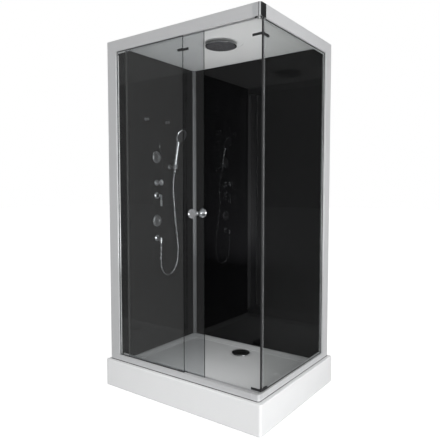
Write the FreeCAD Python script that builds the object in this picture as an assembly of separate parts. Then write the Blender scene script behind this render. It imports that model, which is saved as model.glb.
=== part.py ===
import FreeCAD, Part
import math
import os

# Rectangular shower cabin: a white tray on a steel underframe carries an aluminium frame with
# tinted glass at the front and right, black glass walls at the left and back, a roof with an
# overhead shower, a sliding door and the taps, jets and handset of the left wall.
#
# Frame: +X to the right along the front, +Y from the front to the back wall, +Z up.
# Origin: centre of the footprint, on the floor.  Millimetres and degrees.

Vector = FreeCAD.Vector
AXIS_X = Vector(1, 0, 0)
AXIS_Y = Vector(0, 1, 0)
AXIS_Z = Vector(0, 0, 1)

# ---------------------------------------------------------------- driving dimensions
WIDTH = 1150.0
DEPTH = 900.0
HEIGHT = 2150.0
TRAY_HEIGHT = 170.0
FRAME_INSET = 25.0
GLASS = 6.0
GASKET = 2.0
GAP = 0.3                  # running gap between pieces of different bodies
FIT = 0.05                 # radial clearance of a shaft in its hole

# Tray
TRAY_SHELL = 5.0
TRAY_LIFT = 3.0            # the skirt ends this far above the floor
SKIRT_RADIUS = 14.0
SKIRT_EDGE_RADIUS = 7.0
WALL_LIP = 55.0            # height of the tray's lip on the wall sides
LEDGE_DROP = 35.0          # rim to the ledge that the wall panels stand on
FLOOR_DROP = 52.0          # rim to the tray's floor
FLOOR_SHELL = 9.0          # the floor is laminated to a board
LEDGE_WIDTH = 26.0
LEDGE_SLOPE = 34.0         # width of the slope from the ledge down to the floor
WELL_MARGIN = 6.0          # rim edge behind the wall panels
BASIN_RADIUS = 30.0
DRAIN_X = -15.0
DRAIN_FROM_BACK = 185.0
DRAIN_RADIUS = 62.0
DRAIN_DISH = 4.0           # depth of the dish round the drain
TRAP_RADIUS = 42.0
OUTLET_RADIUS = 20.0

# Underframe and feet
TUBE = 25.0
FEET_LEFT = 105.0          # sides of the tray to the outer rows of feet
FEET_RIGHT = 135.0
FEET_FRONT = 165.0
FEET_BACK = 115.0
FEET_IN_ROW = 4
FOOT_RADIUS = 22.0
ROD_RADIUS = 5.0

# Aluminium profiles
WALL = 2.5                 # profile wall
THIN = 2.0                 # profile rib
TOP_RAIL = 66.0
BOTTOM_RAIL = 37.0
POST_FACE = 72.0
POST_DEPTH = 76.0          # post along the wall that it grips
POST_GROOVE = 29.0         # depth of a post's glass groove
RAIL_DEPTH = 62.0
SIDE_RAIL_DEPTH = 34.0
CORNER_LEG = 50.0
CORNER_PROFILE_LEG = 16.0
CORNER_RADIUS = 16.0
GLASS_SETBACK = 12.0       # frame face to the outer face of the fixed glass
GLASS_BITE = 24.0          # how far a glass edge stands inside its rail
POST_BITE = 27.0           # how far a glass edge stands inside its post

# Door
FIXED_SHARE = 0.517        # share of the front that the fixed pane closes
DOOR_OVERLAP = 106.0       # overlap of the panes when the door is shut
DOOR_LEFT_GAP = 63.0       # left post to the door, part open as in the photo
DOOR_CLEARANCE = 6.0       # inner rib of the front channel to the outer face of the door glass
DOOR_CORNER = 12.0
DOOR_BITE_TOP = 18.0
DOOR_BITE_BOTTOM = 12.0
DOOR_OPENING_TRAVEL = 50.0

# Rollers
WHEEL_RADIUS = 13.0
WHEEL_GROOVE = 2.0
WHEEL_WIDTH = 9.0
TRACK_RIB = 3.0
HANGER_HALF = 24.0
HANGER_INSET = 70.0
HANGER_JAW = 3.5
AXLE_RADIUS = 3.0

# Knobs of the door
KNOB_Z = 1115.0
KNOB_INSET = 49.0
KNOB_RADIUS = 26.0
KNOB_LENGTH = 46.0

# Walls and roof
WALL_FACE_X = 40.0         # left side of the tray to the inner face of the left wall
WALL_FACE_Y = 46.0         # back of the tray to the inner face of the back wall
CEILING_DROP = 10.0        # top of the frame to the roof's underside
ROOF = 6.0

# Fittings of the left wall
FITTINGS_Y = -8.0
JET_Z = (1472.0, 1032.0)
JET_FLANGE = 41.0
JET_BALL = 30.0
DIVERTER_Z = 1297.0
MIXER_Z = 1207.0
ELBOW_Z = 910.0
HOOK_Y = (-110.0, 96.0)
HOOK_Z = 1720.0
HOLDER_Y = 126.0
HOLDER_Z = 1410.0
HANDLE_LEAN = 10.0
HEAD_RADIUS = 48.0
RAIN_X = 29.0
RAIN_Y = -32.0
RAIN_RADIUS = 115.0
RAIN_DROP = 22.0
ROOF_NUT = 7.0
PIPE_RADIUS = 7.0
PIPE_BEND = 22.0
HOSE_RADIUS = 7.0
NUT_LENGTH = 26.0
THREAD_HALF_INCH = 10.48   # outside radius of a G1/2 thread

# ---------------------------------------------------------------- derived places
LEFT = -WIDTH / 2
RIGHT = WIDTH / 2
FRONT = -DEPTH / 2
BACK = DEPTH / 2
FRAME_LEFT = LEFT + FRAME_INSET
FRAME_RIGHT = RIGHT - FRAME_INSET
FRAME_FRONT = FRONT + FRAME_INSET
FRAME_BACK = BACK - FRAME_INSET
RAIL_TOP_Z = HEIGHT - TOP_RAIL               # underside of the top rails
RAIL_BOTTOM_Z = TRAY_HEIGHT + BOTTOM_RAIL    # top of the bottom rails
GLASS_TOP = RAIL_TOP_Z + GLASS_BITE
GLASS_BOTTOM = RAIL_BOTTOM_Z - GLASS_BITE
CEILING_Z = HEIGHT - CEILING_DROP
LEDGE_Z = TRAY_HEIGHT - LEDGE_DROP
FLOOR_Z = TRAY_HEIGHT - FLOOR_DROP
FIXED_Y = FRAME_FRONT + GLASS_SETBACK        # outer face of the fixed front glass
SIDE_X = FRAME_RIGHT - GLASS_SETBACK         # outer face of the fixed side glass
DOOR_TOP = RAIL_TOP_Z + DOOR_BITE_TOP
DOOR_BOTTOM = RAIL_BOTTOM_Z - DOOR_BITE_BOTTOM
WALL_X = LEFT + WALL_FACE_X                  # inner face of the left wall
WALL_Y = BACK - WALL_FACE_Y                  # inner face of the back wall
WALL_OUT_X = WALL_X - GLASS
WALL_OUT_Y = WALL_Y + GLASS
DRAIN_FLOOR = FLOOR_Z - DRAIN_DISH
DRAIN_UNDER = FLOOR_Z - FLOOR_SHELL
TRAP_TOP = DRAIN_UNDER - 3.0
TRAP_BOTTOM = 34.0
OUTLET_Z = TRAP_BOTTOM + OUTLET_RADIUS + 6.0
RAIL_REAR = FRAME_FRONT + RAIL_DEPTH
SIDE_RAIL_REAR = FRAME_RIGHT - SIDE_RAIL_DEPTH
CORNER_X = FRAME_RIGHT - CORNER_LEG
CORNER_Y = FRAME_FRONT + CORNER_LEG
POST_INNER_X = FRAME_LEFT + POST_FACE
POST_INNER_Y = FRAME_BACK - POST_FACE
DOOR_SHUT = SIDE_X - GLASS + 1.0             # right edge of the shut door
FIXED_FRONT_RIGHT = POST_INNER_X + FIXED_SHARE * (DOOR_SHUT - POST_INNER_X)
DOOR_WIDTH = DOOR_SHUT - FIXED_FRONT_RIGHT + DOOR_OVERLAP
DOOR_LEFT = POST_INNER_X + DOOR_LEFT_GAP
DOOR_RIGHT = DOOR_LEFT + DOOR_WIDTH
DOOR_CLOSING_TRAVEL = DOOR_SHUT - DOOR_RIGHT
KNOB_X = DOOR_RIGHT - KNOB_INSET
DRAIN_Y = BACK - DRAIN_FROM_BACK
POST_REAR_X = FRAME_RIGHT - POST_DEPTH       # inner end of the back right post
POST_REAR_Y = FRAME_FRONT + POST_DEPTH       # inner end of the front left post
CORNER_CORE_X = WALL_X + GASKET + WALL
CORNER_CORE_Y = WALL_Y - GASKET - WALL
FIXED_LIP = FIXED_Y - GASKET                 # faces of the front glazing channel
FIXED_RIB = FIXED_Y + GLASS + GASKET
DOOR_Y = FIXED_RIB + THIN + DOOR_CLEARANCE   # outer face of the door glass
SIDE_LIP = SIDE_X + GASKET                   # faces of the side glazing channel
SIDE_RIB = SIDE_X - GLASS - GASKET
SEAL_Y = DOOR_Y + GLASS + 4.0                # front of the closing seal on the side glass
SIDE_GLASS_FRONT = SEAL_Y + 12.0
SEAL_CHEEK = 10.0                            # how far the closing seal grips the pane
TRACK_TOP = RAIL_TOP_Z + 15.0
TRACK_Y = RAIL_REAR - 11.5                   # middle of the track rib
WHEEL_Z = TRACK_TOP + WHEEL_RADIUS - WHEEL_GROOVE + GAP
HANGER_X = (DOOR_LEFT + HANGER_INSET, DOOR_RIGHT - HANGER_INSET)
JET_CENTRE_X = WALL_X - 7.0                  # middle of a jet's ball
PIPE_X = LEFT + 17.5                         # middle of the pipes behind the left wall


# ---------------------------------------------------------------- helpers
def box(x0, x1, y0, y1, z0, z1):
    """Box between two corners."""
    return Part.makeBox(x1 - x0, y1 - y0, z1 - z0, Vector(x0, y0, z0))


def rounded_box(x0, x1, y0, y1, z0, z1, radius):
    """Box whose upright edges are rounded."""
    solid = box(x0, x1, y0, y1, z0, z1)
    upright = [e for e in solid.Edges if abs(e.Vertexes[0].Z - e.Vertexes[-1].Z) > 0.5 * (z1 - z0)]
    return solid.makeFillet(radius, upright)


def rod(radius, start, direction, length):
    """Round bar from a point along a direction."""
    return Part.makeCylinder(radius, length, Vector(*start), direction)


def ring(outer, inner, start, direction, length):
    """Round tube from a point along a direction."""
    return rod(outer, start, direction, length).cut(rod(inner, start, direction, length))


def turned(profile, centre, direction):
    """Solid turned about a direction; profile points are (distance along it, radius)."""
    points = [Vector(r, 0, a) for a, r in profile]
    wire = Part.makePolygon(points + [points[0]])
    solid = Part.Face(wire).revolve(Vector(0, 0, 0), AXIS_Z, 360)
    solid.Placement = FreeCAD.Placement(Vector(*centre), FreeCAD.Rotation(AXIS_Z, direction))
    return solid


def prism(points, direction, length):
    """Flat outline pushed along a direction."""
    wire = Part.makePolygon([Vector(*p) for p in points] + [Vector(*points[0])])
    return Part.Face(wire).extrude(direction * length)


def fuse(shapes):
    """One solid from touching or overlapping solids."""
    solid = shapes[0].fuse(shapes[1:])
    return solid.removeSplitter()


def group(shapes):
    """Several separate solids kept in one sub-part."""
    return Part.makeCompound(shapes)


def rail_x(rects, x0, x1):
    """Profile along X from rectangles (y0, y1, z0, z1)."""
    return fuse([box(x0, x1, y0, y1, z0, z1) for y0, y1, z0, z1 in rects])


def rail_y(rects, y0, y1):
    """Profile along Y from rectangles (x0, x1, z0, z1)."""
    return fuse([box(x0, x1, y0, y1, z0, z1) for x0, x1, z0, z1 in rects])


def post_z(rects, z0, z1):
    """Profile along Z from rectangles (x0, x1, y0, y1)."""
    return fuse([box(x0, x1, y0, y1, z0, z1) for x0, x1, y0, y1 in rects])


def route_wire(points, radii):
    """Straight runs through the points, joined by tangent arcs of the given radii."""
    edges = []
    last = points[0]
    for before, corner, after, radius in zip(points, points[1:], points[2:], radii):
        u = (before - corner).normalize()
        v = (after - corner).normalize()
        half_turn = (math.pi - u.getAngle(v)) / 2
        back = radius * math.tan(half_turn)
        start = corner + u * back
        end = corner + v * back
        bisector = (u + v).normalize()
        middle = corner + bisector * (radius / math.cos(half_turn) - radius)
        edges.append(Part.LineSegment(last, start).toShape())
        edges.append(Part.Arc(start, middle, end).toShape())
        last = end
    edges.append(Part.LineSegment(last, points[-1]).toShape())
    return Part.Wire(edges)


def tube_along(wire, radius, bore=0.0):
    """Round tube along a route, with a bore if one is given."""
    start = wire.Edges[0].valueAt(wire.Edges[0].FirstParameter)
    direction = wire.Edges[0].tangentAt(wire.Edges[0].FirstParameter)
    solids = []
    for size in (radius, bore):
        if size > 0:
            circle = Part.Wire(Part.Circle(start, direction, size).toShape())
            solids.append(wire.makePipeShell([circle], True, False))
    if bore > 0:
        return solids[0].cut(solids[1])
    return solids[0]


def pipe(points, bend=PIPE_BEND):
    """Supply pipe behind the wall with one bend radius at every corner."""
    route = [Vector(*p) for p in points]
    return tube_along(route_wire(route, [bend] * (len(route) - 2)), PIPE_RADIUS, PIPE_RADIUS - 2.0)


def ring_places(centre, rings):
    """Places (a, b) on rings given as (radius, count) round a centre."""
    places = []
    for radius, count in rings:
        for i in range(count):
            angle = 2 * math.pi * i / count
            places.append((centre[0] + radius * math.cos(angle), centre[1] + radius * math.sin(angle)))
    return places


# ---------------------------------------------------------------- tray and drain
WELL_X0 = WALL_X - GLASS - WELL_MARGIN
WELL_X1 = SIDE_RAIL_REAR - 4.0
WELL_Y0 = RAIL_REAR + 4.0
WELL_Y1 = WALL_Y + GLASS + WELL_MARGIN


def basin(grow, floor_z):
    """Hollow of the tray, from the rim down to the floor; grow gives its underside."""
    well = rounded_box(WELL_X0 - grow, WELL_X1 + grow, WELL_Y0 - grow, WELL_Y1 + grow, LEDGE_Z - grow,
                       TRAY_HEIGHT + 10.0, 3.0 + grow)
    wires = []
    for inset, z in ((LEDGE_WIDTH, LEDGE_Z - grow + 0.5), (LEDGE_WIDTH + LEDGE_SLOPE, floor_z)):
        wires.append(wire_rectangle(WELL_X0 - grow + inset, WELL_X1 + grow - inset, WELL_Y0 - grow + inset,
                                    WELL_Y1 + grow - inset, BASIN_RADIUS + grow, z))
    return well.fuse(Part.makeLoft(wires, True, True))


def wire_rectangle(x0, x1, y0, y1, radius, z):
    """Flat rectangle with round corners, as a wire at a height."""
    c = radius * (1 - math.sqrt(0.5))
    corners = [((x1 - radius, y0), (x1 - c, y0 + c), (x1, y0 + radius)),
               ((x1, y1 - radius), (x1 - c, y1 - c), (x1 - radius, y1)),
               ((x0 + radius, y1), (x0 + c, y1 - c), (x0, y1 - radius)),
               ((x0, y0 + radius), (x0 + c, y0 + c), (x0 + radius, y0))]
    edges = []
    for i, (a, b, d) in enumerate(corners):
        following = corners[(i + 1) % len(corners)][0]
        edges.append(Part.Arc(Vector(*a, z), Vector(*b, z), Vector(*d, z)).toShape())
        edges.append(Part.LineSegment(Vector(*d, z), Vector(*following, z)).toShape())
    return Part.Wire(edges)


def tray():
    """Acrylic tray: skirts at the front and right, short lips at the walls, and a basin."""
    solid = rounded_box(LEFT, RIGHT, FRONT, BACK, TRAY_LIFT, TRAY_HEIGHT, SKIRT_RADIUS)
    top = [e for e in solid.Edges if min(v.Z for v in e.Vertexes) > TRAY_HEIGHT - 0.1]
    solid = solid.makeFillet(SKIRT_EDGE_RADIUS, top)
    t = TRAY_SHELL
    hollow = rounded_box(LEFT + t, RIGHT - t, FRONT + t, BACK - t, 0, TRAY_HEIGHT - t, SKIRT_RADIUS - t)
    solid = solid.cut(hollow.cut(basin(t, FLOOR_Z - FLOOR_SHELL)))
    lip_z = TRAY_HEIGHT - WALL_LIP
    corner = 40.0
    solid = solid.cut(box(LEFT - 1, LEFT + t, FRONT + corner, BACK + 1, 0, lip_z))
    solid = solid.cut(box(LEFT - 1, RIGHT - corner, BACK - t, BACK + 1, 0, lip_z))
    solid = solid.cut(box(LEFT - 1, LEFT + SKIRT_RADIUS, BACK - SKIRT_RADIUS, BACK + 1, 0, lip_z))
    solid = solid.cut(basin(0.0, FLOOR_Z))
    dish = turned([(0, 0), (0, DRAIN_RADIUS - 4.0), (DRAIN_DISH, DRAIN_RADIUS + 18.0),
                   (DRAIN_DISH + 5.0, DRAIN_RADIUS + 18.0), (DRAIN_DISH + 5.0, 0)],
                  (DRAIN_X, DRAIN_Y, DRAIN_FLOOR), AXIS_Z)
    solid = solid.cut(dish)
    solid = solid.cut(rod(TRAP_RADIUS + 1.0, (DRAIN_X, DRAIN_Y, 0), AXIS_Z, TRAY_HEIGHT))
    return solid.removeSplitter()


def drain_flange():
    """Metal flange of the waste, with its neck down through the tray."""
    return turned([(0, DRAIN_RADIUS - 8.0), (2.0, DRAIN_RADIUS - 9.0), (2.0, TRAP_RADIUS - 3.0),
                   (-14.0, TRAP_RADIUS - 3.0), (-14.0, TRAP_RADIUS), (0, TRAP_RADIUS)],
                  (DRAIN_X, DRAIN_Y, DRAIN_FLOOR), AXIS_Z)


def drain_gasket():
    """Rubber ring between the tray's underside and the trap."""
    return ring(DRAIN_RADIUS - 8.0, TRAP_RADIUS + 1.5, (DRAIN_X, DRAIN_Y, TRAP_TOP), AXIS_Z,
                DRAIN_UNDER - TRAP_TOP)


SPIGOT_END_Y = BACK - 35.0
SPIGOT_SEAT = 50.0                           # how far the waste pipe's socket goes on, up to the stop ring


def drain_trap():
    """Cup of the trap, with its clamping collar and the outlet spigot towards the back."""
    collar = rod(DRAIN_RADIUS - 8.0, (DRAIN_X, DRAIN_Y, TRAP_TOP - 6.0), AXIS_Z, 6.0)
    cup = rod(TRAP_RADIUS + 4.0, (DRAIN_X, DRAIN_Y, TRAP_BOTTOM), AXIS_Z, TRAP_TOP - TRAP_BOTTOM)
    spigot = rod(OUTLET_RADIUS, (DRAIN_X, DRAIN_Y, OUTLET_Z), AXIS_Y, SPIGOT_END_Y - DRAIN_Y)
    stop = rod(OUTLET_RADIUS + 2.0, (DRAIN_X, SPIGOT_END_Y - SPIGOT_SEAT - 3.0, OUTLET_Z), AXIS_Y, 3.0)
    solid = fuse([collar, cup, spigot, stop])
    solid = solid.cut(rod(TRAP_RADIUS + 0.5, (DRAIN_X, DRAIN_Y, TRAP_BOTTOM + 3.0), AXIS_Z, TRAP_TOP))
    return solid.cut(rod(OUTLET_RADIUS - 2.0, (DRAIN_X, DRAIN_Y + TRAP_RADIUS - 2.0, OUTLET_Z), AXIS_Y,
                         DEPTH))


CUP_SEAT = DRAIN_FLOOR + 2.0 + GAP           # the cup hangs by its rim on the flange
CUP_RIM = 2.0


def drain_cup():
    """Lift-out water seal cup that hangs in the flange."""
    return turned([(0, TRAP_RADIUS + 1.0), (CUP_RIM, TRAP_RADIUS + 1.0), (CUP_RIM, 30.0), (-48.0, 30.0),
                   (-48.0, 0), (-51.0, 0), (-51.0, 32.5), (0, 32.5)],
                  (DRAIN_X, DRAIN_Y, CUP_SEAT), AXIS_Z)


def drain_cover():
    """Domed cover of the drain, on four short feet that stand on the cup's rim."""
    base = CUP_SEAT + CUP_RIM + 3.0
    cover = turned([(0, 0), (0, DRAIN_RADIUS - 3.0), (2.0, DRAIN_RADIUS), (4.0, DRAIN_RADIUS - 3.0),
                    (6.5, DRAIN_RADIUS * 0.6), (7.5, 0)], (DRAIN_X, DRAIN_Y, base), AXIS_Z)
    feet = [rod(3.0, (x, y, CUP_SEAT + CUP_RIM), AXIS_Z, 4.0)
            for x, y in ring_places((DRAIN_X, DRAIN_Y), [(TRAP_RADIUS - 4.0, 4)])]
    return fuse([cover] + feet)


# ---------------------------------------------------------------- underframe
FRAME_TUBE_TOP = DRAIN_UNDER
FRAME_TUBE_Z = FRAME_TUBE_TOP - TUBE
FOOT_STEP = (WIDTH - FEET_LEFT - FEET_RIGHT) / (FEET_IN_ROW - 1)
FOOT_X = [LEFT + FEET_LEFT + i * FOOT_STEP for i in range(FEET_IN_ROW)]
FOOT_Y = (FRONT + FEET_FRONT, BACK - FEET_BACK)


def square_tube(start, direction, length, side_a, side_b):
    """Hollow square steel tube on its centre line."""
    half = TUBE / 2
    s = Vector(*start)
    outer = prism([tuple(s + side_a * (half * a) + side_b * (half * b)) for a, b in
                   ((-1, -1), (1, -1), (1, 1), (-1, 1))], direction, length)
    inner_half = half - 1.5
    inner = prism([tuple(s + side_a * (inner_half * a) + side_b * (inner_half * b)) for a, b in
                   ((-1, -1), (1, -1), (1, 1), (-1, 1))], direction, length)
    return outer.cut(inner)


def underframe():
    """Welded steel frame of square tube below the tray's floor."""
    z = FRAME_TUBE_Z + TUBE / 2
    half = TUBE / 2
    tubes = [square_tube((FOOT_X[0] - 30.0, y, z), AXIS_X, FOOT_X[-1] - FOOT_X[0] + 60.0, AXIS_Y, AXIS_Z)
             for y in FOOT_Y]
    for x in FOOT_X:
        tubes.append(square_tube((x, FOOT_Y[0] + half, z), AXIS_Y, FOOT_Y[1] - FOOT_Y[0] - TUBE, AXIS_X,
                                 AXIS_Z))
    frame = fuse(tubes)
    for x in FOOT_X:
        for y in FOOT_Y:
            frame = frame.cut(rod(ROD_RADIUS + 0.5, (x, y, FRAME_TUBE_Z - 1.0), AXIS_Z, TUBE + 2.0))
    return frame


def feet():
    """Levelling feet: rubber pads with their threaded rods."""
    shapes = []
    for x in FOOT_X:
        for y in FOOT_Y:
            shapes.append(turned([(0, 0), (0, FOOT_RADIUS), (6.0, FOOT_RADIUS), (12.0, 11.0),
                                  (12.0, ROD_RADIUS),
                                  (FRAME_TUBE_TOP - 1.0, ROD_RADIUS), (FRAME_TUBE_TOP - 1.0, 0)],
                                 (x, y, 0), AXIS_Z))
    return group(shapes)


def hexagon_nut(corner_radius, bore, start, height):
    """Hexagon nut standing on a point."""
    corners = [(start[0] + corner_radius * math.cos(math.radians(60 * i)),
                start[1] + corner_radius * math.sin(math.radians(60 * i)), start[2]) for i in range(6)]
    return prism(corners, AXIS_Z, height).cut(rod(bore, start, AXIS_Z, height))


# ---------------------------------------------------------------- frame profiles
def top_rail_front():
    """Front top rail: chambered face, glazing channel and the roller track behind."""
    f = FRAME_FRONT
    low = RAIL_TOP_Z
    top = HEIGHT
    rects = [(f, f + WALL, low, top),
             (f, RAIL_REAR, top - WALL, top),
             (f, FIXED_LIP, low, low + WALL),
             (FIXED_LIP - THIN, FIXED_LIP, low, top),
             (FIXED_RIB, FIXED_RIB + THIN, low + 2.0, top),
             (RAIL_REAR - WALL, RAIL_REAR, TRACK_TOP - 9.0, top),
             (TRACK_Y - 6.5, RAIL_REAR, TRACK_TOP - 9.0, TRACK_TOP - 6.0),
             (TRACK_Y - TRACK_RIB / 2, TRACK_Y + TRACK_RIB / 2, TRACK_TOP - 8.0, TRACK_TOP),
             (RAIL_REAR - WALL, RAIL_REAR + 8.0, CEILING_Z - WALL, CEILING_Z)]
    return rail_x(rects, FRAME_LEFT, CORNER_X)


def top_rail_side():
    """Side top rail: chambered face and glazing channel."""
    f = FRAME_RIGHT
    low = RAIL_TOP_Z
    top = HEIGHT
    rects = [(f - WALL, f, low, top),
             (SIDE_RAIL_REAR, f, top - WALL, top),
             (SIDE_LIP, f, low, low + WALL),
             (SIDE_LIP, SIDE_LIP + THIN, low, top),
             (SIDE_RIB - THIN, SIDE_RIB, low, top),
             (SIDE_RAIL_REAR, SIDE_RIB, low, low + WALL),
             (SIDE_RAIL_REAR, SIDE_RAIL_REAR + THIN, low, top),
             (SIDE_RAIL_REAR - 8.0, SIDE_RAIL_REAR + THIN, CEILING_Z - WALL, CEILING_Z)]
    return rail_y(rects, CORNER_Y, FRAME_BACK)


def bottom_rail_front():
    """Front bottom rail: glazing channel, door channel and a sloped apron to the tray."""
    f = FRAME_FRONT
    z = TRAY_HEIGHT
    top = RAIL_BOTTOM_Z
    door_rear = DOOR_Y + GLASS + 6.0
    rects = [(f, f + WALL, z, top),
             (f, RAIL_REAR - 20.0, z, z + WALL),
             (f, FIXED_LIP, top - WALL, top),
             (FIXED_LIP - THIN, FIXED_LIP, z, top),
             (FIXED_RIB, FIXED_RIB + THIN, z, top),
             (door_rear, door_rear + THIN, z, top)]
    body = rail_x(rects, POST_INNER_X, CORNER_X)
    apron = prism([(POST_INNER_X, door_rear, top - WALL), (POST_INNER_X, door_rear + 6.0, top),
                   (POST_INNER_X, RAIL_REAR, z + WALL), (POST_INNER_X, RAIL_REAR, z),
                   (POST_INNER_X, RAIL_REAR - 4.0, z)], AXIS_X, CORNER_X - POST_INNER_X)
    cap = box(POST_INNER_X, CORNER_X, door_rear, door_rear + 6.0, top - WALL, top)
    return fuse([body, cap, apron])


def bottom_rail_side():
    """Side bottom rail: chambered face, glazing channel and inner lip."""
    f = FRAME_RIGHT
    z = TRAY_HEIGHT
    top = RAIL_BOTTOM_Z
    rects = [(f - WALL, f, z, top),
             (SIDE_RAIL_REAR, f, z, z + WALL),
             (SIDE_LIP, f, top - WALL, top),
             (SIDE_LIP, SIDE_LIP + THIN, z, top),
             (SIDE_RIB - THIN, SIDE_RIB, z, top),
             (SIDE_RAIL_REAR, SIDE_RIB, top - WALL, top),
             (SIDE_RAIL_REAR, SIDE_RAIL_REAR + THIN, z, top)]
    return rail_y(rects, CORNER_Y, POST_INNER_Y)


def threshold_strip():
    """Infill that closes the glazing channel across the doorway."""
    return rail_x([(FIXED_LIP, FIXED_RIB, RAIL_BOTTOM_Z - WALL, RAIL_BOTTOM_Z),
                   (FIXED_LIP, FIXED_LIP + THIN, RAIL_BOTTOM_Z - 14.0, RAIL_BOTTOM_Z),
                   (FIXED_RIB - THIN, FIXED_RIB, RAIL_BOTTOM_Z - 14.0, RAIL_BOTTOM_Z)],
                  FIXED_FRONT_RIGHT + 2.0, CORNER_X)


def upright_edge(solid, x, y):
    """Upright edges of a solid at a place."""
    return [e for e in solid.Edges if all(abs(v.X - x) < 0.1 and abs(v.Y - y) < 0.1 for v in e.Vertexes)]


def corner_block(z0, z1, cover):
    """Rounded corner where a front and a side rail meet; cover says which end is closed."""
    solid = box(CORNER_X, FRAME_RIGHT, FRAME_FRONT, CORNER_Y, z0, z1)
    solid = solid.makeFillet(CORNER_RADIUS, upright_edge(solid, FRAME_RIGHT, FRAME_FRONT))
    inner_x = FRAME_RIGHT - WALL
    inner_y = FRAME_FRONT + WALL
    inner_z0 = z0 + WALL if cover == "bottom" else z0 - 1.0
    inner_z1 = z1 - WALL if cover == "top" else z1 + 1.0
    inner = box(CORNER_X - 1.0, inner_x, inner_y, CORNER_Y + 1.0, inner_z0, inner_z1)
    return solid.cut(inner.makeFillet(CORNER_RADIUS - WALL, upright_edge(inner, inner_x, inner_y)))


def top_corner_cover():
    """Chromed rounded cover of the top corner, with tongues into both rails."""
    shell = corner_block(RAIL_TOP_Z, HEIGHT, "top")
    z0 = RAIL_TOP_Z + WALL + 1.0
    z1 = HEIGHT - WALL
    tongue_x = box(CORNER_X - 18.0, FRAME_RIGHT - CORNER_RADIUS, FRAME_FRONT + WALL, FIXED_LIP - THIN,
                   z0, z1)
    tongue_y = box(SIDE_LIP + THIN, FRAME_RIGHT - WALL, FRAME_FRONT + CORNER_RADIUS, CORNER_Y + 18.0,
                   z0, z1)
    return fuse([shell, tongue_x, tongue_y])


def bottom_corner_joint():
    """Rounded aluminium corner of the bottom rails, with a floor and tongues."""
    shell = corner_block(TRAY_HEIGHT, RAIL_BOTTOM_Z, "bottom")
    z0 = TRAY_HEIGHT + WALL
    z1 = RAIL_BOTTOM_Z - WALL - 1.0
    tongue_x = box(CORNER_X - 14.0, FRAME_RIGHT - CORNER_RADIUS, FRAME_FRONT + WALL, FIXED_LIP - THIN,
                   z0, z1)
    tongue_y = box(SIDE_LIP + THIN, FRAME_RIGHT - WALL, FRAME_FRONT + CORNER_RADIUS, CORNER_Y + 14.0,
                   z0, z1)
    cap = box(CORNER_X, FRAME_RIGHT - WALL, FRAME_FRONT + WALL, CORNER_Y, RAIL_BOTTOM_Z - WALL,
              RAIL_BOTTOM_Z)
    cap = cap.common(rounded_box(CORNER_X - 40.0, FRAME_RIGHT, FRAME_FRONT, CORNER_Y + 40.0, TRAY_HEIGHT,
                                 RAIL_BOTTOM_Z, CORNER_RADIUS))
    slot = box(CORNER_X - 1.0, DOOR_RIGHT + DOOR_CLOSING_TRAVEL + 2.0, DOOR_Y - 4.0, DOOR_Y + GLASS + 6.0,
               TRAY_HEIGHT + WALL, HEIGHT)
    return fuse([shell, tongue_x, tongue_y, cap]).cut(slot)


def post_front_left():
    """Front left post: grooves for the fixed glass and for the left wall panel."""
    f = FRAME_FRONT
    groove_x = POST_INNER_X - POST_GROOVE
    wall_out = WALL_OUT_X - GASKET
    wall_in = WALL_X + GASKET
    rear = POST_REAR_Y
    web = FIXED_RIB + THIN
    rects = [(FRAME_LEFT, POST_INNER_X, f, f + WALL),
             (FRAME_LEFT, FRAME_LEFT + WALL, f, rear),
             (POST_INNER_X - WALL, POST_INNER_X, f, FIXED_LIP),
             (groove_x, POST_INNER_X, FIXED_LIP - THIN, FIXED_LIP),
             (groove_x - THIN, groove_x, f, web),
             (groove_x, POST_INNER_X, FIXED_RIB, web),
             (FRAME_LEFT, groove_x, web, web + THIN),
             (wall_out - THIN, wall_out, web, rear),
             (FRAME_LEFT, wall_out, rear - THIN, rear),
             (wall_in, wall_in + WALL, web, rear)]
    return post_z(rects, TRAY_HEIGHT, RAIL_TOP_Z)


def post_back_right():
    """Back right post: grooves for the side glass and for the back wall panel."""
    r = FRAME_RIGHT
    b = FRAME_BACK
    groove_y = POST_INNER_Y + POST_GROOVE
    wall_out = WALL_OUT_Y + GASKET
    wall_in = WALL_Y - GASKET
    left = POST_REAR_X
    web = SIDE_RIB - THIN
    rects = [(r - WALL, r, POST_INNER_Y, b),
             (left, r, b - WALL, b),
             (SIDE_LIP, r, POST_INNER_Y, POST_INNER_Y + WALL),
             (SIDE_LIP, SIDE_LIP + THIN, POST_INNER_Y, groove_y),
             (web, r, groove_y, groove_y + THIN),
             (web, SIDE_RIB, POST_INNER_Y, groove_y),
             (web - THIN, web, groove_y, b),
             (left, web, wall_out, wall_out + THIN),
             (left, left + THIN, wall_out, b),
             (left, web, wall_in - WALL, wall_in)]
    return post_z(rects, TRAY_HEIGHT, RAIL_TOP_Z)


def post_back_left():
    """Back left corner profile: two short legs inside and a hollow core between the panels."""
    leg = CORNER_PROFILE_LEG
    left_out = WALL_OUT_X - GASKET
    left_in = WALL_X + GASKET
    back_out = WALL_OUT_Y + GASKET
    core_x = CORNER_CORE_X
    core_y = CORNER_CORE_Y
    rects = [(left_out - THIN, left_out, core_y - leg, back_out + THIN),
             (left_in, core_x, core_y - leg, core_y),
             (left_out - THIN, core_x, core_y, core_y + WALL),
             (left_out - THIN, core_x + leg, back_out, back_out + THIN),
             (core_x, core_x + leg, core_y, core_y + WALL),
             (core_x - WALL, core_x, core_y, back_out + THIN)]
    return post_z(rects, LEDGE_Z, CEILING_Z)


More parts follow.
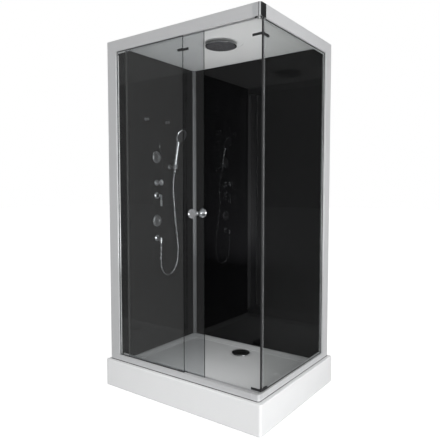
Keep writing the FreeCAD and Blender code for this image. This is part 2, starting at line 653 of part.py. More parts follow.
def wall_angle_pair(z_top, z_low, flat_z0, flat_z1, overhang):
    """Two angles behind the wall panels, one along each wall."""
    left = rail_y([(WALL_OUT_X - THIN, WALL_OUT_X, z_low, z_top),
                   (FRAME_LEFT - overhang, WALL_OUT_X, flat_z0, flat_z1)],
                  POST_REAR_Y + 2.0, CORNER_CORE_Y - 20.0)
    back = rail_x([(WALL_OUT_Y, WALL_OUT_Y + THIN, z_low, z_top),
                   (WALL_OUT_Y, FRAME_BACK + overhang, flat_z0, flat_z1)],
                  CORNER_CORE_X + 20.0, POST_REAR_X - 2.0)
    return [left, back]


def wall_angles():
    """Angles behind the walls: a pair on the tray's rim and a pair that carries the roof."""
    rim = wall_angle_pair(TRAY_HEIGHT + 30.0, TRAY_HEIGHT, TRAY_HEIGHT, TRAY_HEIGHT + THIN, 15.0)
    roof = wall_angle_pair(CEILING_Z, CEILING_Z - 40.0, CEILING_Z - THIN, CEILING_Z, 0.0)
    return group(rim + roof)


# ---------------------------------------------------------------- glass and gaskets
def pane_y(x0, x1, y, z0, z1, radius, round_left=True, round_right=True):
    """Pane in a plane of constant Y with rounded corners at its free edges."""
    pane = box(x0, x1, y, y + GLASS, z0, z1)
    edges = []
    for e in pane.Edges:
        a = e.Vertexes[0]
        b = e.Vertexes[-1]
        if abs(a.Y - b.Y) < GLASS / 2:
            continue
        if (round_left and abs(a.X - x0) < 0.1) or (round_right and abs(a.X - x1) < 0.1):
            edges.append(e)
    return pane.makeFillet(radius, edges)


def fixed_glass_front():
    """Tinted pane between the left post and the doorway."""
    return pane_y(POST_INNER_X - POST_BITE, FIXED_FRONT_RIGHT, FIXED_Y, GLASS_BOTTOM, GLASS_TOP, 4.0,
                  False, True)


def fixed_glass_side():
    """Tinted pane of the right side."""
    return box(SIDE_X - GLASS, SIDE_X, SIDE_GLASS_FRONT, POST_INNER_Y + POST_BITE, GLASS_BOTTOM, GLASS_TOP)


def gasket_strips_front():
    """Gasket strips of the front pane: both faces at the top, bottom and post."""
    left = POST_INNER_X - POST_BITE
    right = FIXED_FRONT_RIGHT
    shapes = []
    for y in (FIXED_LIP, FIXED_Y + GLASS):
        shapes.append(box(POST_INNER_X, right, y, y + GASKET, RAIL_TOP_Z - 1.5, RAIL_TOP_Z + 10.0))
        shapes.append(box(POST_INNER_X, right, y, y + GASKET, RAIL_BOTTOM_Z - 10.0, RAIL_BOTTOM_Z + 1.5))
        shapes.append(box(left + 8.0, POST_INNER_X, y, y + GASKET, RAIL_BOTTOM_Z + 1.5, RAIL_TOP_Z - 1.5))
    return shapes


def gasket_strips_side():
    """Gasket strips of the side pane."""
    front = SIDE_GLASS_FRONT + SEAL_CHEEK + 1.0
    back = POST_INNER_Y + POST_BITE
    shapes = []
    for x in (SIDE_RIB, SIDE_X):
        shapes.append(box(x, x + GASKET, front, POST_INNER_Y, RAIL_TOP_Z - 1.5, RAIL_TOP_Z + 10.0))
        shapes.append(box(x, x + GASKET, front, POST_INNER_Y, RAIL_BOTTOM_Z - 10.0, RAIL_BOTTOM_Z + 1.5))
        shapes.append(box(x, x + GASKET, POST_INNER_Y, back - 8.0, RAIL_BOTTOM_Z + 1.5, RAIL_TOP_Z - 1.5))
    return shapes


def gasket_strips_walls():
    """Gasket strips of both wall panels in the posts and in the corner profile."""
    z0 = TRAY_HEIGHT + 1.0
    z1 = RAIL_TOP_Z
    shapes = []
    for x in (WALL_X - GLASS - GASKET, WALL_X):
        shapes.append(box(x, x + GASKET, POST_REAR_Y - 14.0, POST_REAR_Y, z0, z1))
        shapes.append(box(x, x + GASKET, CORNER_CORE_Y - 14.0, CORNER_CORE_Y - 1.0, z0, z1))
    for y in (WALL_Y - GASKET, WALL_Y + GLASS):
        shapes.append(box(POST_REAR_X, POST_REAR_X + 14.0, y, y + GASKET, z0, z1))
        shapes.append(box(CORNER_CORE_X + 1.0, CORNER_CORE_X + 14.0, y, y + GASKET, z0, z1))
    return shapes


def glazing_gaskets():
    """All rubber strips that hold the panes and wall panels in their profiles."""
    return group(gasket_strips_front() + gasket_strips_side() + gasket_strips_walls())


def left_wall_panel():
    """Black glass wall that carries the taps and jets, drilled for each of them."""
    front = FRAME_FRONT + 30.0
    panel = box(WALL_OUT_X, WALL_X, front, CORNER_CORE_Y - 1.0, LEDGE_Z + 1.0, CEILING_Z - 2.0)
    panel = panel.cut(box(WALL_OUT_X - 1.0, WALL_X + 1.0, front, RAIL_REAR + 9.0, RAIL_TOP_Z - 1.0, HEIGHT))
    panel = panel.cut(box(WALL_OUT_X - 1.0, WALL_X + 1.0, front, WELL_Y0 + 2.0, 0, TRAY_HEIGHT + 1.0))
    holes = [(JET_HOUSING + 1.0, FITTINGS_Y, z) for z in JET_Z]
    holes += [(DIVERTER_NECK + 0.5, FITTINGS_Y, DIVERTER_Z), (MIXER_NECK + 0.5, FITTINGS_Y, MIXER_Z),
              (THREAD_HALF_INCH + 0.5, FITTINGS_Y, ELBOW_Z), (4.0, HOLDER_Y, HOLDER_Z)]
    holes += [(3.5, y, HOOK_Z) for y in HOOK_Y]
    for radius, y, z in holes:
        panel = panel.cut(rod(radius, (WALL_OUT_X - 1.0, y, z), AXIS_X, GLASS + 2.0))
    return panel


def back_wall_panel():
    """Black glass wall at the back."""
    right = SIDE_RIB - THIN - THIN - 1.0
    panel = box(CORNER_CORE_X + 1.0, right, WALL_Y, WALL_OUT_Y, LEDGE_Z + 1.0, CEILING_Z - 2.0)
    panel = panel.cut(box(SIDE_RAIL_REAR - 9.0, right, WALL_Y - 1.0, WALL_OUT_Y + 1.0, RAIL_TOP_Z - 1.0,
                          HEIGHT))
    return panel.cut(box(WELL_X1 - 2.0, right, WALL_Y - 1.0, WALL_OUT_Y + 1.0, 0, TRAY_HEIGHT + 1.0))


def roof_panel():
    """Moulded roof with a shallow raised disc on its underside round the overhead shower."""
    x1 = SIDE_RAIL_REAR - GAP
    y0 = RAIL_REAR + GAP
    panel = box(FRAME_LEFT, x1, y0, FRAME_BACK, CEILING_Z, CEILING_Z + ROOF)
    panel = panel.cut(rod(RAIN_RADIUS + 22.0, (RAIN_X, RAIN_Y, CEILING_Z), AXIS_Z, 2.0))
    return panel.cut(rod(THREAD_HALF_INCH + 0.5, (RAIN_X, RAIN_Y, CEILING_Z - 1.0), AXIS_Z, ROOF + 2.0))


# ---------------------------------------------------------------- door
def door_glass():
    """Sliding tinted pane with rounded corners, drilled for its knob and hangers."""
    pane = pane_y(DOOR_LEFT, DOOR_RIGHT, DOOR_Y, DOOR_BOTTOM, DOOR_TOP, DOOR_CORNER)
    pane = pane.cut(rod(7.0, (KNOB_X, DOOR_Y - 1.0, KNOB_Z), AXIS_Y, GLASS + 2.0))
    return pane


def knob_profile(length, radius):
    """Trumpet shaped knob: narrow at the glass, wide and dished at its face."""
    return [(0, 0), (0, 11.0), (3.0, 11.0), (4.0, 7.5), (length * 0.35, 7.5), (length * 0.6, radius * 0.48),
            (length * 0.85, radius * 0.9), (length * 0.93, radius), (length, radius * 0.97),
            (length, radius * 0.82), (length - 5.0, radius * 0.72), (length - 5.0, 0)]


def door_knobs():
    """Pair of knobs, one on each face of the glass."""
    profile = knob_profile(KNOB_LENGTH, KNOB_RADIUS)
    outer = turned(profile, (KNOB_X, DOOR_Y - 1.0, KNOB_Z), Vector(0, -1, 0))
    inner = turned(profile, (KNOB_X, DOOR_Y + GLASS + 1.0, KNOB_Z), AXIS_Y)
    return group([outer, inner])


def knob_stud():
    """Stud through the glass with the two soft washers that face it."""
    start = (KNOB_X, DOOR_Y - 1.0, KNOB_Z)
    stud = rod(4.0, start, AXIS_Y, GLASS + 2.0)
    outer = rod(10.5, start, AXIS_Y, 1.0)
    inner = rod(10.5, (KNOB_X, DOOR_Y + GLASS, KNOB_Z), AXIS_Y, 1.0)
    return fuse([stud, outer, inner])


def hanger(x):
    """Clamp over the glass's top edge, with the axle of its wheel."""
    z1 = WHEEL_Z + 9.0
    z0 = DOOR_TOP - 12.0
    outer = box(x - HANGER_HALF, x + HANGER_HALF, DOOR_Y - HANGER_JAW, DOOR_Y, z0, z1 - 4.0)
    inner = box(x - HANGER_HALF, x + HANGER_HALF, DOOR_Y + GLASS, DOOR_Y + GLASS + 4.5, z0, z1)
    bridge = box(x - HANGER_HALF, x + HANGER_HALF, DOOR_Y, DOOR_Y + GLASS, DOOR_TOP, z1 - 4.0)
    root_y = DOOR_Y + GLASS + 4.0
    shoulder = rod(AXLE_RADIUS + 3.0, (x, root_y, WHEEL_Z), AXIS_Y,
                   TRACK_Y - WHEEL_WIDTH / 2 - GAP - root_y)
    axle = rod(AXLE_RADIUS, (x, root_y, WHEEL_Z), AXIS_Y, TRACK_Y + WHEEL_WIDTH / 2 + GAP - root_y)
    head = rod(AXLE_RADIUS + 1.6, (x, TRACK_Y + WHEEL_WIDTH / 2 + GAP, WHEEL_Z), AXIS_Y, 1.2)
    return fuse([outer, inner, bridge, shoulder, axle, head])


def hanger_screws():
    """Clamp screws of both hangers."""
    shapes = []
    for x in HANGER_X:
        for offset in (-HANGER_HALF + 9.0, HANGER_HALF - 9.0):
            shapes.append(turned([(0, 0), (0, 4.0), (1.4, 2.8), (1.4, 0)],
                                 (x + offset, DOOR_Y - HANGER_JAW, DOOR_TOP - 6.0), Vector(0, -1, 0)))
    return group(shapes)


def wheel(x):
    """Grooved roller with its ball race, on one axle."""
    half = WHEEL_WIDTH / 2
    rim = WHEEL_RADIUS
    root = WHEEL_RADIUS - WHEEL_GROOVE
    groove = TRACK_RIB / 2 + GAP
    bore = AXLE_RADIUS + FIT
    profile = [(-half, bore), (-half, 7.5), (-half + 1.0, 8.5), (-half + 1.0, rim - 1.0),
               (-half + 1.6, rim),
               (-groove - 0.3, rim), (-groove, root), (groove, root), (groove + 0.3, rim),
               (half - 1.6, rim),
               (half - 1.0, rim - 1.0), (half - 1.0, 8.5), (half, 7.5), (half, bore)]
    return turned(profile, (x, TRACK_Y, WHEEL_Z), AXIS_Y)


def door_rear_seal():
    """Clear lip along the door's left edge that meets the fixed pane when the door is shut."""
    z0 = DOOR_BOTTOM + DOOR_CORNER + 10.0
    z1 = DOOR_TOP - DOOR_CORNER - 10.0
    x = DOOR_LEFT
    return fuse([box(x - 2.0, x, DOOR_Y - 1.5, DOOR_Y + GLASS + 1.5, z0, z1),
                 box(x, x + 9.0, DOOR_Y - 1.5, DOOR_Y, z0, z1),
                 box(x, x + 9.0, DOOR_Y + GLASS, DOOR_Y + GLASS + 1.5, z0, z1)])


def track_stops():
    """Rubber stops in the track that end the door's travel both ways."""
    left = HANGER_X[0] - HANGER_HALF - DOOR_OPENING_TRAVEL - GAP
    right = HANGER_X[1] + HANGER_HALF + DOOR_CLOSING_TRAVEL + GAP
    z0 = TRACK_TOP - 6.0
    z1 = HEIGHT - WALL
    y0 = FIXED_RIB + THIN
    y1 = RAIL_REAR - WALL
    rib = box(FRAME_LEFT, CORNER_X, TRACK_Y - TRACK_RIB / 2, TRACK_Y + TRACK_RIB / 2, 0, TRACK_TOP)
    shapes = []
    for x0, x1 in ((left - 8.0, left), (right, min(right + 8.0, CORNER_X))):
        block = box(x0, x1, TRACK_Y - 6.5, y1, z0, z1)
        cross = box(x0, x1, y0, y1, DOOR_TOP + 6.0, z1)
        shapes.append(fuse([block, cross]).cut(rib))
    return group(shapes)


def door_guides():
    """Slotted nylon guides in the door channel that steady the pane's lower edge."""
    y0 = FIXED_RIB + THIN
    y1 = DOOR_Y + GLASS + 6.0
    slot = 0.4
    shapes = []
    for x in (FIXED_FRONT_RIGHT - 45.0, FIXED_FRONT_RIGHT - 5.0):
        block = box(x - 14.0, x + 14.0, y0, y1, TRAY_HEIGHT + WALL, RAIL_BOTTOM_Z - 1.0)
        block = block.cut(box(x - 15.0, x + 15.0, DOOR_Y - slot, DOOR_Y + GLASS + slot, DOOR_BOTTOM - 1.0,
                              RAIL_BOTTOM_Z))
        shapes.append(block)
    return group(shapes)


# ---------------------------------------------------------------- seal, stops and clip on the glass
def closing_seal():
    """Dark bulb seal on the side pane's free edge that the shut door covers."""
    z0 = RAIL_BOTTOM_Z + 1.0
    z1 = RAIL_TOP_Z - 1.0
    x0 = SIDE_X - GLASS
    web = box(x0 - 1.5, SIDE_X + 1.5, SIDE_GLASS_FRONT - 3.0, SIDE_GLASS_FRONT, z0, z1)
    rear = SIDE_GLASS_FRONT + SEAL_CHEEK
    cheeks = [box(x, x + 1.5, SIDE_GLASS_FRONT, rear, z0, z1) for x in (x0 - 1.5, SIDE_X)]
    middle = SIDE_X - GLASS / 2
    bulb = rod(4.0, (middle, SEAL_Y + 4.0, z0), AXIS_Z, z1 - z0)
    neck = box(middle - 2.0, middle + 2.0, SEAL_Y + 5.0, SIDE_GLASS_FRONT - 2.0, z0, z1)
    return fuse([web, neck, bulb] + cheeks)


STOP_HEIGHT = 12.0
STOP_Z = (RAIL_BOTTOM_Z + 3.0, HEIGHT - 145.0)


def closing_stop(z0):
    """Corner stop on the side pane: a clip along the glass and a leg behind the door."""
    x0 = SIDE_X - GLASS
    y0 = DOOR_Y + GLASS + 1.0
    clip_out = box(SIDE_X, SIDE_X + 3.0, y0 + 3.0, SIDE_GLASS_FRONT + 48.0, z0, z0 + STOP_HEIGHT)
    clip_in = box(x0 - 3.0, x0, y0 + 3.0, SIDE_GLASS_FRONT + 48.0, z0, z0 + STOP_HEIGHT)
    leg = box(x0 - 52.0, SIDE_X + 3.0, y0, y0 + 3.0, z0, z0 + STOP_HEIGHT)
    solid = fuse([clip_out, clip_in, leg])
    seal_room = box(x0 - 1.5, SIDE_X + 1.5, y0 + 3.0, SIDE_GLASS_FRONT + SEAL_CHEEK, z0 - 1.0,
                    z0 + STOP_HEIGHT + 1.0)
    return solid.cut(seal_room)


def glass_clip():
    """Small clip on the fixed front pane's free edge that keeps the door from touching it."""
    z0 = STOP_Z[1]
    x = FIXED_FRONT_RIGHT
    front = box(x - 34.0, x + 3.0, FIXED_Y - 3.0, FIXED_Y, z0, z0 + STOP_HEIGHT)
    rear = box(x - 34.0, x + 36.0, FIXED_Y + GLASS, FIXED_Y + GLASS + 4.0, z0, z0 + STOP_HEIGHT)
    end = box(x, x + 3.0, FIXED_Y - 3.0, FIXED_Y + GLASS + 4.0, z0, z0 + STOP_HEIGHT)
    return fuse([front, rear, end])


# ---------------------------------------------------------------- overhead shower
RAIN_FACE_Z = CEILING_Z - RAIN_DROP


def rain_head_shell():
    """Shell of the overhead shower with its threaded neck through the roof."""
    neck = RAIN_DROP + ROOF + ROOF_NUT + 5.0
    profile = [(0, 0), (0, RAIN_RADIUS - 4.0), (2.5, RAIN_RADIUS), (5.0, RAIN_RADIUS),
               (8.0, RAIN_RADIUS - 10.0),
               (11.0, 40.0), (RAIN_DROP - 2.0, 26.0), (RAIN_DROP + 2.0, 26.0),
               (RAIN_DROP + 2.0, THREAD_HALF_INCH), (neck, THREAD_HALF_INCH), (neck, 0)]
    return turned(profile, (RAIN_X, RAIN_Y, RAIN_FACE_Z), AXIS_Z)


def rain_head_face():
    """Nozzle plate of the overhead shower."""
    plate = rod(RAIN_RADIUS - 6.0, (RAIN_X, RAIN_Y, RAIN_FACE_Z - 2.0), AXIS_Z, 2.0)
    rings = [(20.0, 6), (45.0, 12), (70.0, 18), (95.0, 24)]
    nozzles = [Part.makeCone(1.6, 2.4, 2.5, Vector(x, y, RAIN_FACE_Z - 4.5), AXIS_Z)
               for x, y in ring_places((RAIN_X, RAIN_Y), rings)]
    return fuse([plate] + nozzles)


ROOF_PIPE_Z = CEILING_Z + ROOF + ROOF_NUT + PIPE_RADIUS + 2.0
ROOF_ARM = 34.0            # length of the roof elbow's arm


def roof_elbow():
    """Elbow on the roof that feeds the overhead shower."""
    z0 = CEILING_Z + ROOF + ROOF_NUT
    cap = rod(THREAD_HALF_INCH + 3.0, (RAIN_X, RAIN_Y, z0), AXIS_Z, 2 * PIPE_RADIUS + 4.0)
    arm = rod(PIPE_RADIUS + 1.0, (RAIN_X, RAIN_Y, ROOF_PIPE_Z), Vector(-1, 0, 0), ROOF_ARM)
    solid = fuse([cap, arm])
    return solid.cut(rod(THREAD_HALF_INCH, (RAIN_X, RAIN_Y, z0 - 1.0), AXIS_Z, 7.0))


# ---------------------------------------------------------------- body jets
JET_HOUSING = JET_BALL + 4.0
JET_FACE_X = WALL_X + 8.0
JET_SEAT_DEPTH = 16.5      # from the ball's middle to the bottom of its seat
SPIGOT_RADIUS = PIPE_RADIUS + 1.0


def jet_housing(z):
    """Round housing of a body jet: flange on the wall, ball seat and a hose tail behind."""
    back = PIPE_X - SPIGOT_RADIUS
    wall = WALL_X - back
    profile = [(0, 0), (0, JET_HOUSING), (wall, JET_HOUSING), (wall, JET_FLANGE - 1.0),
               (wall + 1.0, JET_FLANGE),
               (wall + 5.0, JET_FLANGE - 1.5), (JET_FACE_X - back, JET_BALL + 1.0), (JET_FACE_X - back, 0)]
    solid = turned(profile, (back, FITTINGS_Y, z), AXIS_X)
    solid = solid.fuse(rod(SPIGOT_RADIUS, (PIPE_X, FITTINGS_Y, z), AXIS_Y, JET_HOUSING + 12.0))
    seat = Part.makeSphere(JET_BALL + GAP, Vector(JET_CENTRE_X, FITTINGS_Y, z))
    behind = box(back - 60.0, JET_CENTRE_X - JET_SEAT_DEPTH, -300.0, 300.0, z - 100.0, z + 100.0)
    return solid.cut(seat.cut(behind))


def jet_nozzle(z):
    """Ball nozzle of a body jet, with a ring of soft nipples on its face."""
    face_x = JET_CENTRE_X + 18.0
    ball = Part.makeSphere(JET_BALL, Vector(JET_CENTRE_X, FITTINGS_Y, z))
    slab = box(JET_CENTRE_X - 9.0, face_x, FITTINGS_Y - 60.0, FITTINGS_Y + 60.0, z - 60.0, z + 60.0)
    solid = ball.common(slab)
    dish = turned([(0, 0), (0, 15.0), (2.0, 18.0), (6.0, 18.0), (6.0, 0)],
                  (face_x - 2.0, FITTINGS_Y, z), AXIS_X)
    solid = solid.cut(dish)
    nipples = [Part.makeCone(1.9, 1.3, 3.0, Vector(face_x - 2.5, y, zz), AXIS_X)
               for y, zz in ring_places((FITTINGS_Y, z), [(6.0, 5), (12.0, 10)])]
    return fuse([solid] + nipples)


# ---------------------------------------------------------------- diverter and mixer
PORT = 27.0                # length of a valve's ports from its middle
DIVERTER_NECK = 12.0
DIVERTER_OUT = 47.0
MIXER_NECK = 14.0


def diverter_valve():
    """Brass valve behind the wall, its neck through the glass, and its back plate."""
    body = rod(15.0, (LEFT + 2.0, FITTINGS_Y, DIVERTER_Z), AXIS_X, WALL_OUT_X - LEFT - 2.0)
    neck = rod(DIVERTER_NECK, (WALL_OUT_X, FITTINGS_Y, DIVERTER_Z), AXIS_X, GLASS)
    ports = [rod(9.0, (PIPE_X, FITTINGS_Y - PORT, DIVERTER_Z), AXIS_Y, 2 * PORT),
             rod(9.0, (PIPE_X, FITTINGS_Y, DIVERTER_Z - PORT), AXIS_Z, 2 * PORT)]
    return fuse([body, neck] + ports)


def diverter_plate():
    """Round plate of the diverter on the wall."""
    return turned([(0, 0), (0, 21.0), (3.0, 21.0), (6.0, 12.0), (6.0, 0)],
                  (WALL_X, FITTINGS_Y, DIVERTER_Z), AXIS_X)


def diverter_knob():
    """Flared knob that turns to choose the outlet."""
    length = DIVERTER_OUT - 6.0 - GAP
    profile = [(0, 0), (0, 9.0), (length * 0.3, 7.5), (length * 0.55, 9.0), (length * 0.85, 19.0),
               (length * 0.93, 20.5),
               (length, 19.5), (length, 15.0), (length - 2.5, 14.0), (length - 2.5, 0)]
    solid = turned(profile, (WALL_X + 6.0 + GAP, FITTINGS_Y, DIVERTER_Z), AXIS_X)
    tip = WALL_X + 6.0 + GAP + length
    rib = box(tip - 3.0, tip, FITTINGS_Y - 1.2, FITTINGS_Y + 1.2, DIVERTER_Z + 2.0, DIVERTER_Z + 13.5)
    return fuse([solid, rib])


MIXER_PLATE = 17.0
MIXER_HUB = 19.0
MIXER_HUB_OUT = 40.0
MIXER_INLET_Y = 46.0


def mixer_valve():
    """Brass mixer behind the wall with hot and cold inlets below and the mixed outlet above."""
    x = PIPE_X
    z = MIXER_Z
    body = rod(15.5, (LEFT + 1.5, FITTINGS_Y, z), AXIS_X, WALL_OUT_X - LEFT - 1.5)
    neck = rod(MIXER_NECK, (WALL_OUT_X, FITTINGS_Y, z), AXIS_X, GLASS)
    bar = rod(11.0, (x, FITTINGS_Y - MIXER_INLET_Y - 11.0, z), AXIS_Y, 2 * MIXER_INLET_Y + 22.0)
    outlet = rod(9.0, (x, FITTINGS_Y, z), AXIS_Z, PORT)
    inlets = [rod(THREAD_HALF_INCH, (x, FITTINGS_Y + side * MIXER_INLET_Y, z - 34.0), AXIS_Z, 34.0)
              for side in (-1, 1)]
    solid = fuse([body, neck, bar, outlet] + inlets)
    for side in (-1, 1):
        solid = solid.cut(rod(7.0, (x, FITTINGS_Y + side * MIXER_INLET_Y, z - 35.0), AXIS_Z, 24.0))
    return solid


def mixer_plate():
    """Round plate of the mixer on the wall."""
    return turned([(0, 0), (0, MIXER_PLATE + 6.0), (3.0, MIXER_PLATE + 6.0), (7.0, MIXER_PLATE), (7.0, 0)],
                  (WALL_X, FITTINGS_Y, MIXER_Z), AXIS_X)


LEVER_PIVOT_X = WALL_X + 26.0


def mixer_hub():
    """Hub of the mixer that turns for temperature, forked round the lever's pivot."""
    start = 7.0 + GAP
    profile = [(start, 0), (start, 12.0), (start + 3.0, 13.0), (30.0, 13.0), (33.0, 11.0), (33.0, 0)]
    solid = turned(profile, (WALL_X, FITTINGS_Y, MIXER_Z), AXIS_X)
    slot = box(WALL_X + 17.0, WALL_X + 40.0, FITTINGS_Y - 5.0 - GAP, FITTINGS_Y + 5.0 + GAP, MIXER_Z - 30.0,
               MIXER_Z + 30.0)
    pin = rod(2.5, (LEVER_PIVOT_X, FITTINGS_Y - 12.0, MIXER_Z), AXIS_Y, 24.0)
    return fuse([solid.cut(slot), pin])


def mixer_lever():
    """Lever that lifts for flow and hangs down in front of the wall."""
    x = LEVER_PIVOT_X
    y0 = FITTINGS_Y - 5.0
    y1 = FITTINGS_Y + 5.0
    outline = [(x - 5.0, y0, MIXER_Z - 4.0), (x - 3.0, y0, MIXER_Z + 6.0), (x + 10.0, y0, MIXER_Z + 8.0),
               (x + 20.0, y0, MIXER_Z + 2.0), (x + 23.0, y0, MIXER_Z - 70.0),
               (x + 20.0, y0, MIXER_Z - 73.0),
               (x + 16.0, y0, MIXER_Z - 72.0), (x + 12.0, y0, MIXER_Z - 12.0), (x + 4.0, y0, MIXER_Z - 8.0)]
    lever = prism(outline, AXIS_Y, y1 - y0)
    lever = lever.cut(rod(2.5 + FIT, (x, y0 - 1.0, MIXER_Z), AXIS_Y, 12.0))
    blade = box(x + 14.5, x + 19.5, FITTINGS_Y - 8.0, FITTINGS_Y + 8.0, MIXER_Z - 70.0, MIXER_Z - 30.0)
    return fuse([lever, blade])


# ---------------------------------------------------------------- hose outlet, holder and handset
ELBOW_OUT = 36.0
ELBOW_DROP = 20.0
HOSE_START = Vector(WALL_X + ELBOW_OUT, FITTINGS_Y, ELBOW_Z - ELBOW_DROP - NUT_LENGTH)


def outlet_elbow():
    """Wall elbow that the shower hose starts from."""
    flange = turned([(0, 0), (0, 22.0), (3.0, 22.0), (7.0, 13.0), (7.0, 0)],
                    (WALL_X, FITTINGS_Y, ELBOW_Z), AXIS_X)
    back = PIPE_X - SPIGOT_RADIUS
    tail = rod(THREAD_HALF_INCH, (back, FITTINGS_Y, ELBOW_Z), AXIS_X, WALL_X - back)
    spigot = rod(SPIGOT_RADIUS, (PIPE_X, FITTINGS_Y - PORT, ELBOW_Z), AXIS_Y, PORT)
    arm = rod(10.0, (WALL_X, FITTINGS_Y, ELBOW_Z), AXIS_X, ELBOW_OUT)
    ball = Part.makeSphere(10.0, Vector(WALL_X + ELBOW_OUT, FITTINGS_Y, ELBOW_Z))
    down = rod(THREAD_HALF_INCH, (WALL_X + ELBOW_OUT, FITTINGS_Y, ELBOW_Z - ELBOW_DROP), AXIS_Z, ELBOW_DROP)
    return fuse([flange, tail, spigot, arm, ball, down])


def hose_nut(top, direction):
    """Conical hose nut; direction points along the hose, away from the fitting."""
    return turned([(0, 0), (0, 12.5), (12.0, 12.5), (NUT_LENGTH - 2.0, 9.0), (NUT_LENGTH, 8.0),
                   (NUT_LENGTH, 0)],
                  tuple(top), direction)


LEAN = math.radians(HANDLE_LEAN)
HANDLE_AXIS = Vector(math.sin(LEAN), 0, math.cos(LEAN))
HOLDER_POINT = Vector(WALL_X + 52.0, HOLDER_Y, HOLDER_Z)
HANDLE_RADIUS = 12.0
HANDLE_REACH = 182.0       # from the holder to the top of the handle
HANDLE_BELOW = 24.0        # from the holder to the foot of the handle
HANDLE_FOOT = HOLDER_POINT - HANDLE_AXIS * HANDLE_BELOW
HANDLE_TOP = HOLDER_POINT + HANDLE_AXIS * HANDLE_REACH
HOSE_END = HANDLE_FOOT - HANDLE_AXIS * NUT_LENGTH
HEAD_TILT = math.radians(-25.0)              # the head's face looks out and down
HEAD_AXIS = Vector(math.cos(HEAD_TILT), 0, math.sin(HEAD_TILT))
HEAD_FACE = HANDLE_TOP + Vector(34.0, 0, 30.0)
CUP_LENGTH = 28.0
CUP_BORE = (13.0, 15.2)    # radius of the cup's bore, below and above


def shower_holder():
    """Wall bracket with a split conical cup that the handset stands in."""
    plate = turned([(0, 0), (0, 17.0), (4.0, 17.0), (8.0, 13.0), (8.0, 0)],
                   (WALL_X, HOLDER_Y, HOLDER_Z), AXIS_X)
    arm = rod(8.0, (WALL_X + 4.0, HOLDER_Y, HOLDER_Z), AXIS_X, 38.0)
    start = HOLDER_POINT - HANDLE_AXIS * (CUP_LENGTH / 2)
    low, high = CUP_BORE
    cup = turned([(0, low + 4.0), (0, low), (CUP_LENGTH, high), (CUP_LENGTH, high + 3.8)], tuple(start),
                 HANDLE_AXIS)
    slot = box(0, 30.0, -9.5, 9.5, -30.0, 60.0)
    slot.Placement = FreeCAD.Placement(start, FreeCAD.Rotation(AXIS_Z, HANDLE_AXIS))
    bore = turned([(-10.0, 0), (-10.0, low), (0, low), (CUP_LENGTH, high), (40.0, high), (40.0, 0)],
                  tuple(start),
                  HANDLE_AXIS)
    arm = arm.cut(bore)
    return fuse([plate, arm, cup.cut(slot)])


def handset():
    """Hand shower: tapered handle in its holder and a round head on a bent neck."""
    top = HANDLE_BELOW + HANDLE_REACH
    low, high = CUP_BORE
    seat = HANDLE_BELOW - CUP_LENGTH / 2
    cone = turned([(0, 0), (0, 10.5), (seat, low - GAP), (seat + CUP_LENGTH, high - GAP),
                   (42.0, HANDLE_RADIUS),
                   (110.0, HANDLE_RADIUS - 1.0), (top, HANDLE_RADIUS + 1.0), (top, 0)],
                  tuple(HANDLE_FOOT), HANDLE_AXIS)
    head = turned([(0, 0), (0, HEAD_RADIUS - 4.0), (4.0, HEAD_RADIUS), (9.0, HEAD_RADIUS - 3.0),
                   (20.0, 26.0),
                   (26.0, 12.0), (26.0, 0)], tuple(HEAD_FACE), -HEAD_AXIS)
    neck_start = HANDLE_TOP - HANDLE_AXIS * 4.0
    neck_end = HEAD_FACE - HEAD_AXIS * 22.0
    along = neck_end - neck_start
    neck = Part.makeCone(HANDLE_RADIUS + 0.9, HANDLE_RADIUS + 6.0, along.Length, neck_start, along)
    return fuse([cone, head, neck])


def handset_face():
    """Nozzle plate of the hand shower."""
    turn = FreeCAD.Rotation(AXIS_Z, HEAD_AXIS)
    plate = turned([(0, 0), (0, HEAD_RADIUS - 6.0), (1.5, HEAD_RADIUS - 7.0), (1.5, 0)],
                   tuple(HEAD_FACE), HEAD_AXIS)
    nipples = []
    for a, b in ring_places((0, 0), [(10.0, 6), (22.0, 12), (34.0, 18)]):
        place = HEAD_FACE + turn.multVec(Vector(a, b, 1.0))
        nipples.append(Part.makeCone(1.6, 1.0, 2.5, place, HEAD_AXIS))
    return fuse([plate] + nipples)


# The shower hose hangs in a loop from the elbow to the handset.  Points chosen by hand.
HOSE_LAST_RUN = 88.0
HOSE_LAST = HOSE_END - HANDLE_AXIS * HOSE_LAST_RUN
HOSE_ROUTE = [(HOSE_START.x, HOSE_START.y, HOSE_START.z),
              (HOSE_START.x, HOSE_START.y, 800.0),
              (-502.0, -8.0, 716.0),
              (-505.0, 32.0, 652.0),
              (-506.0, 102.0, 642.0),
              (-505.0, 160.0, 694.0),
              (-502.0, 177.0, 784.0),
              (-500.0, 169.0, 882.0),
              (-498.0, 150.0, 980.0),
              (-497.0, 135.0, 1080.0),
              (-498.0, 128.0, 1180.0),
              (HOSE_LAST.x, HOSE_LAST.y, HOSE_LAST.z),
              (HOSE_END.x, HOSE_END.y, HOSE_END.z)]


def hose_radii(points):
    """Largest arcs that the runs of a route allow."""
    radii = []
    for before, corner, after in zip(points, points[1:], points[2:]):
        turn = math.pi - (before - corner).getAngle(after - corner)
        shorter = min((before - corner).Length, (after - corner).Length)
        radii.append(0.45 * shorter / math.tan(turn / 2))
    return radii


def shower_hose():
    """Flexible hose, plain outside, with its bore."""
    points = [Vector(*p) for p in HOSE_ROUTE]
    radii = hose_radii(points)
    wire = route_wire(points, radii)
    solid = tube_along(wire, HOSE_RADIUS, HOSE_RADIUS - 2.5)
    area = math.pi * (HOSE_RADIUS ** 2 - (HOSE_RADIUS - 2.5) ** 2)
    print("hose radii", [round(r) for r in radii])
    print("hose length", round(wire.Length, 1), "volume ratio",
          round(solid.Volume / (area * wire.Length), 4))
    return solid


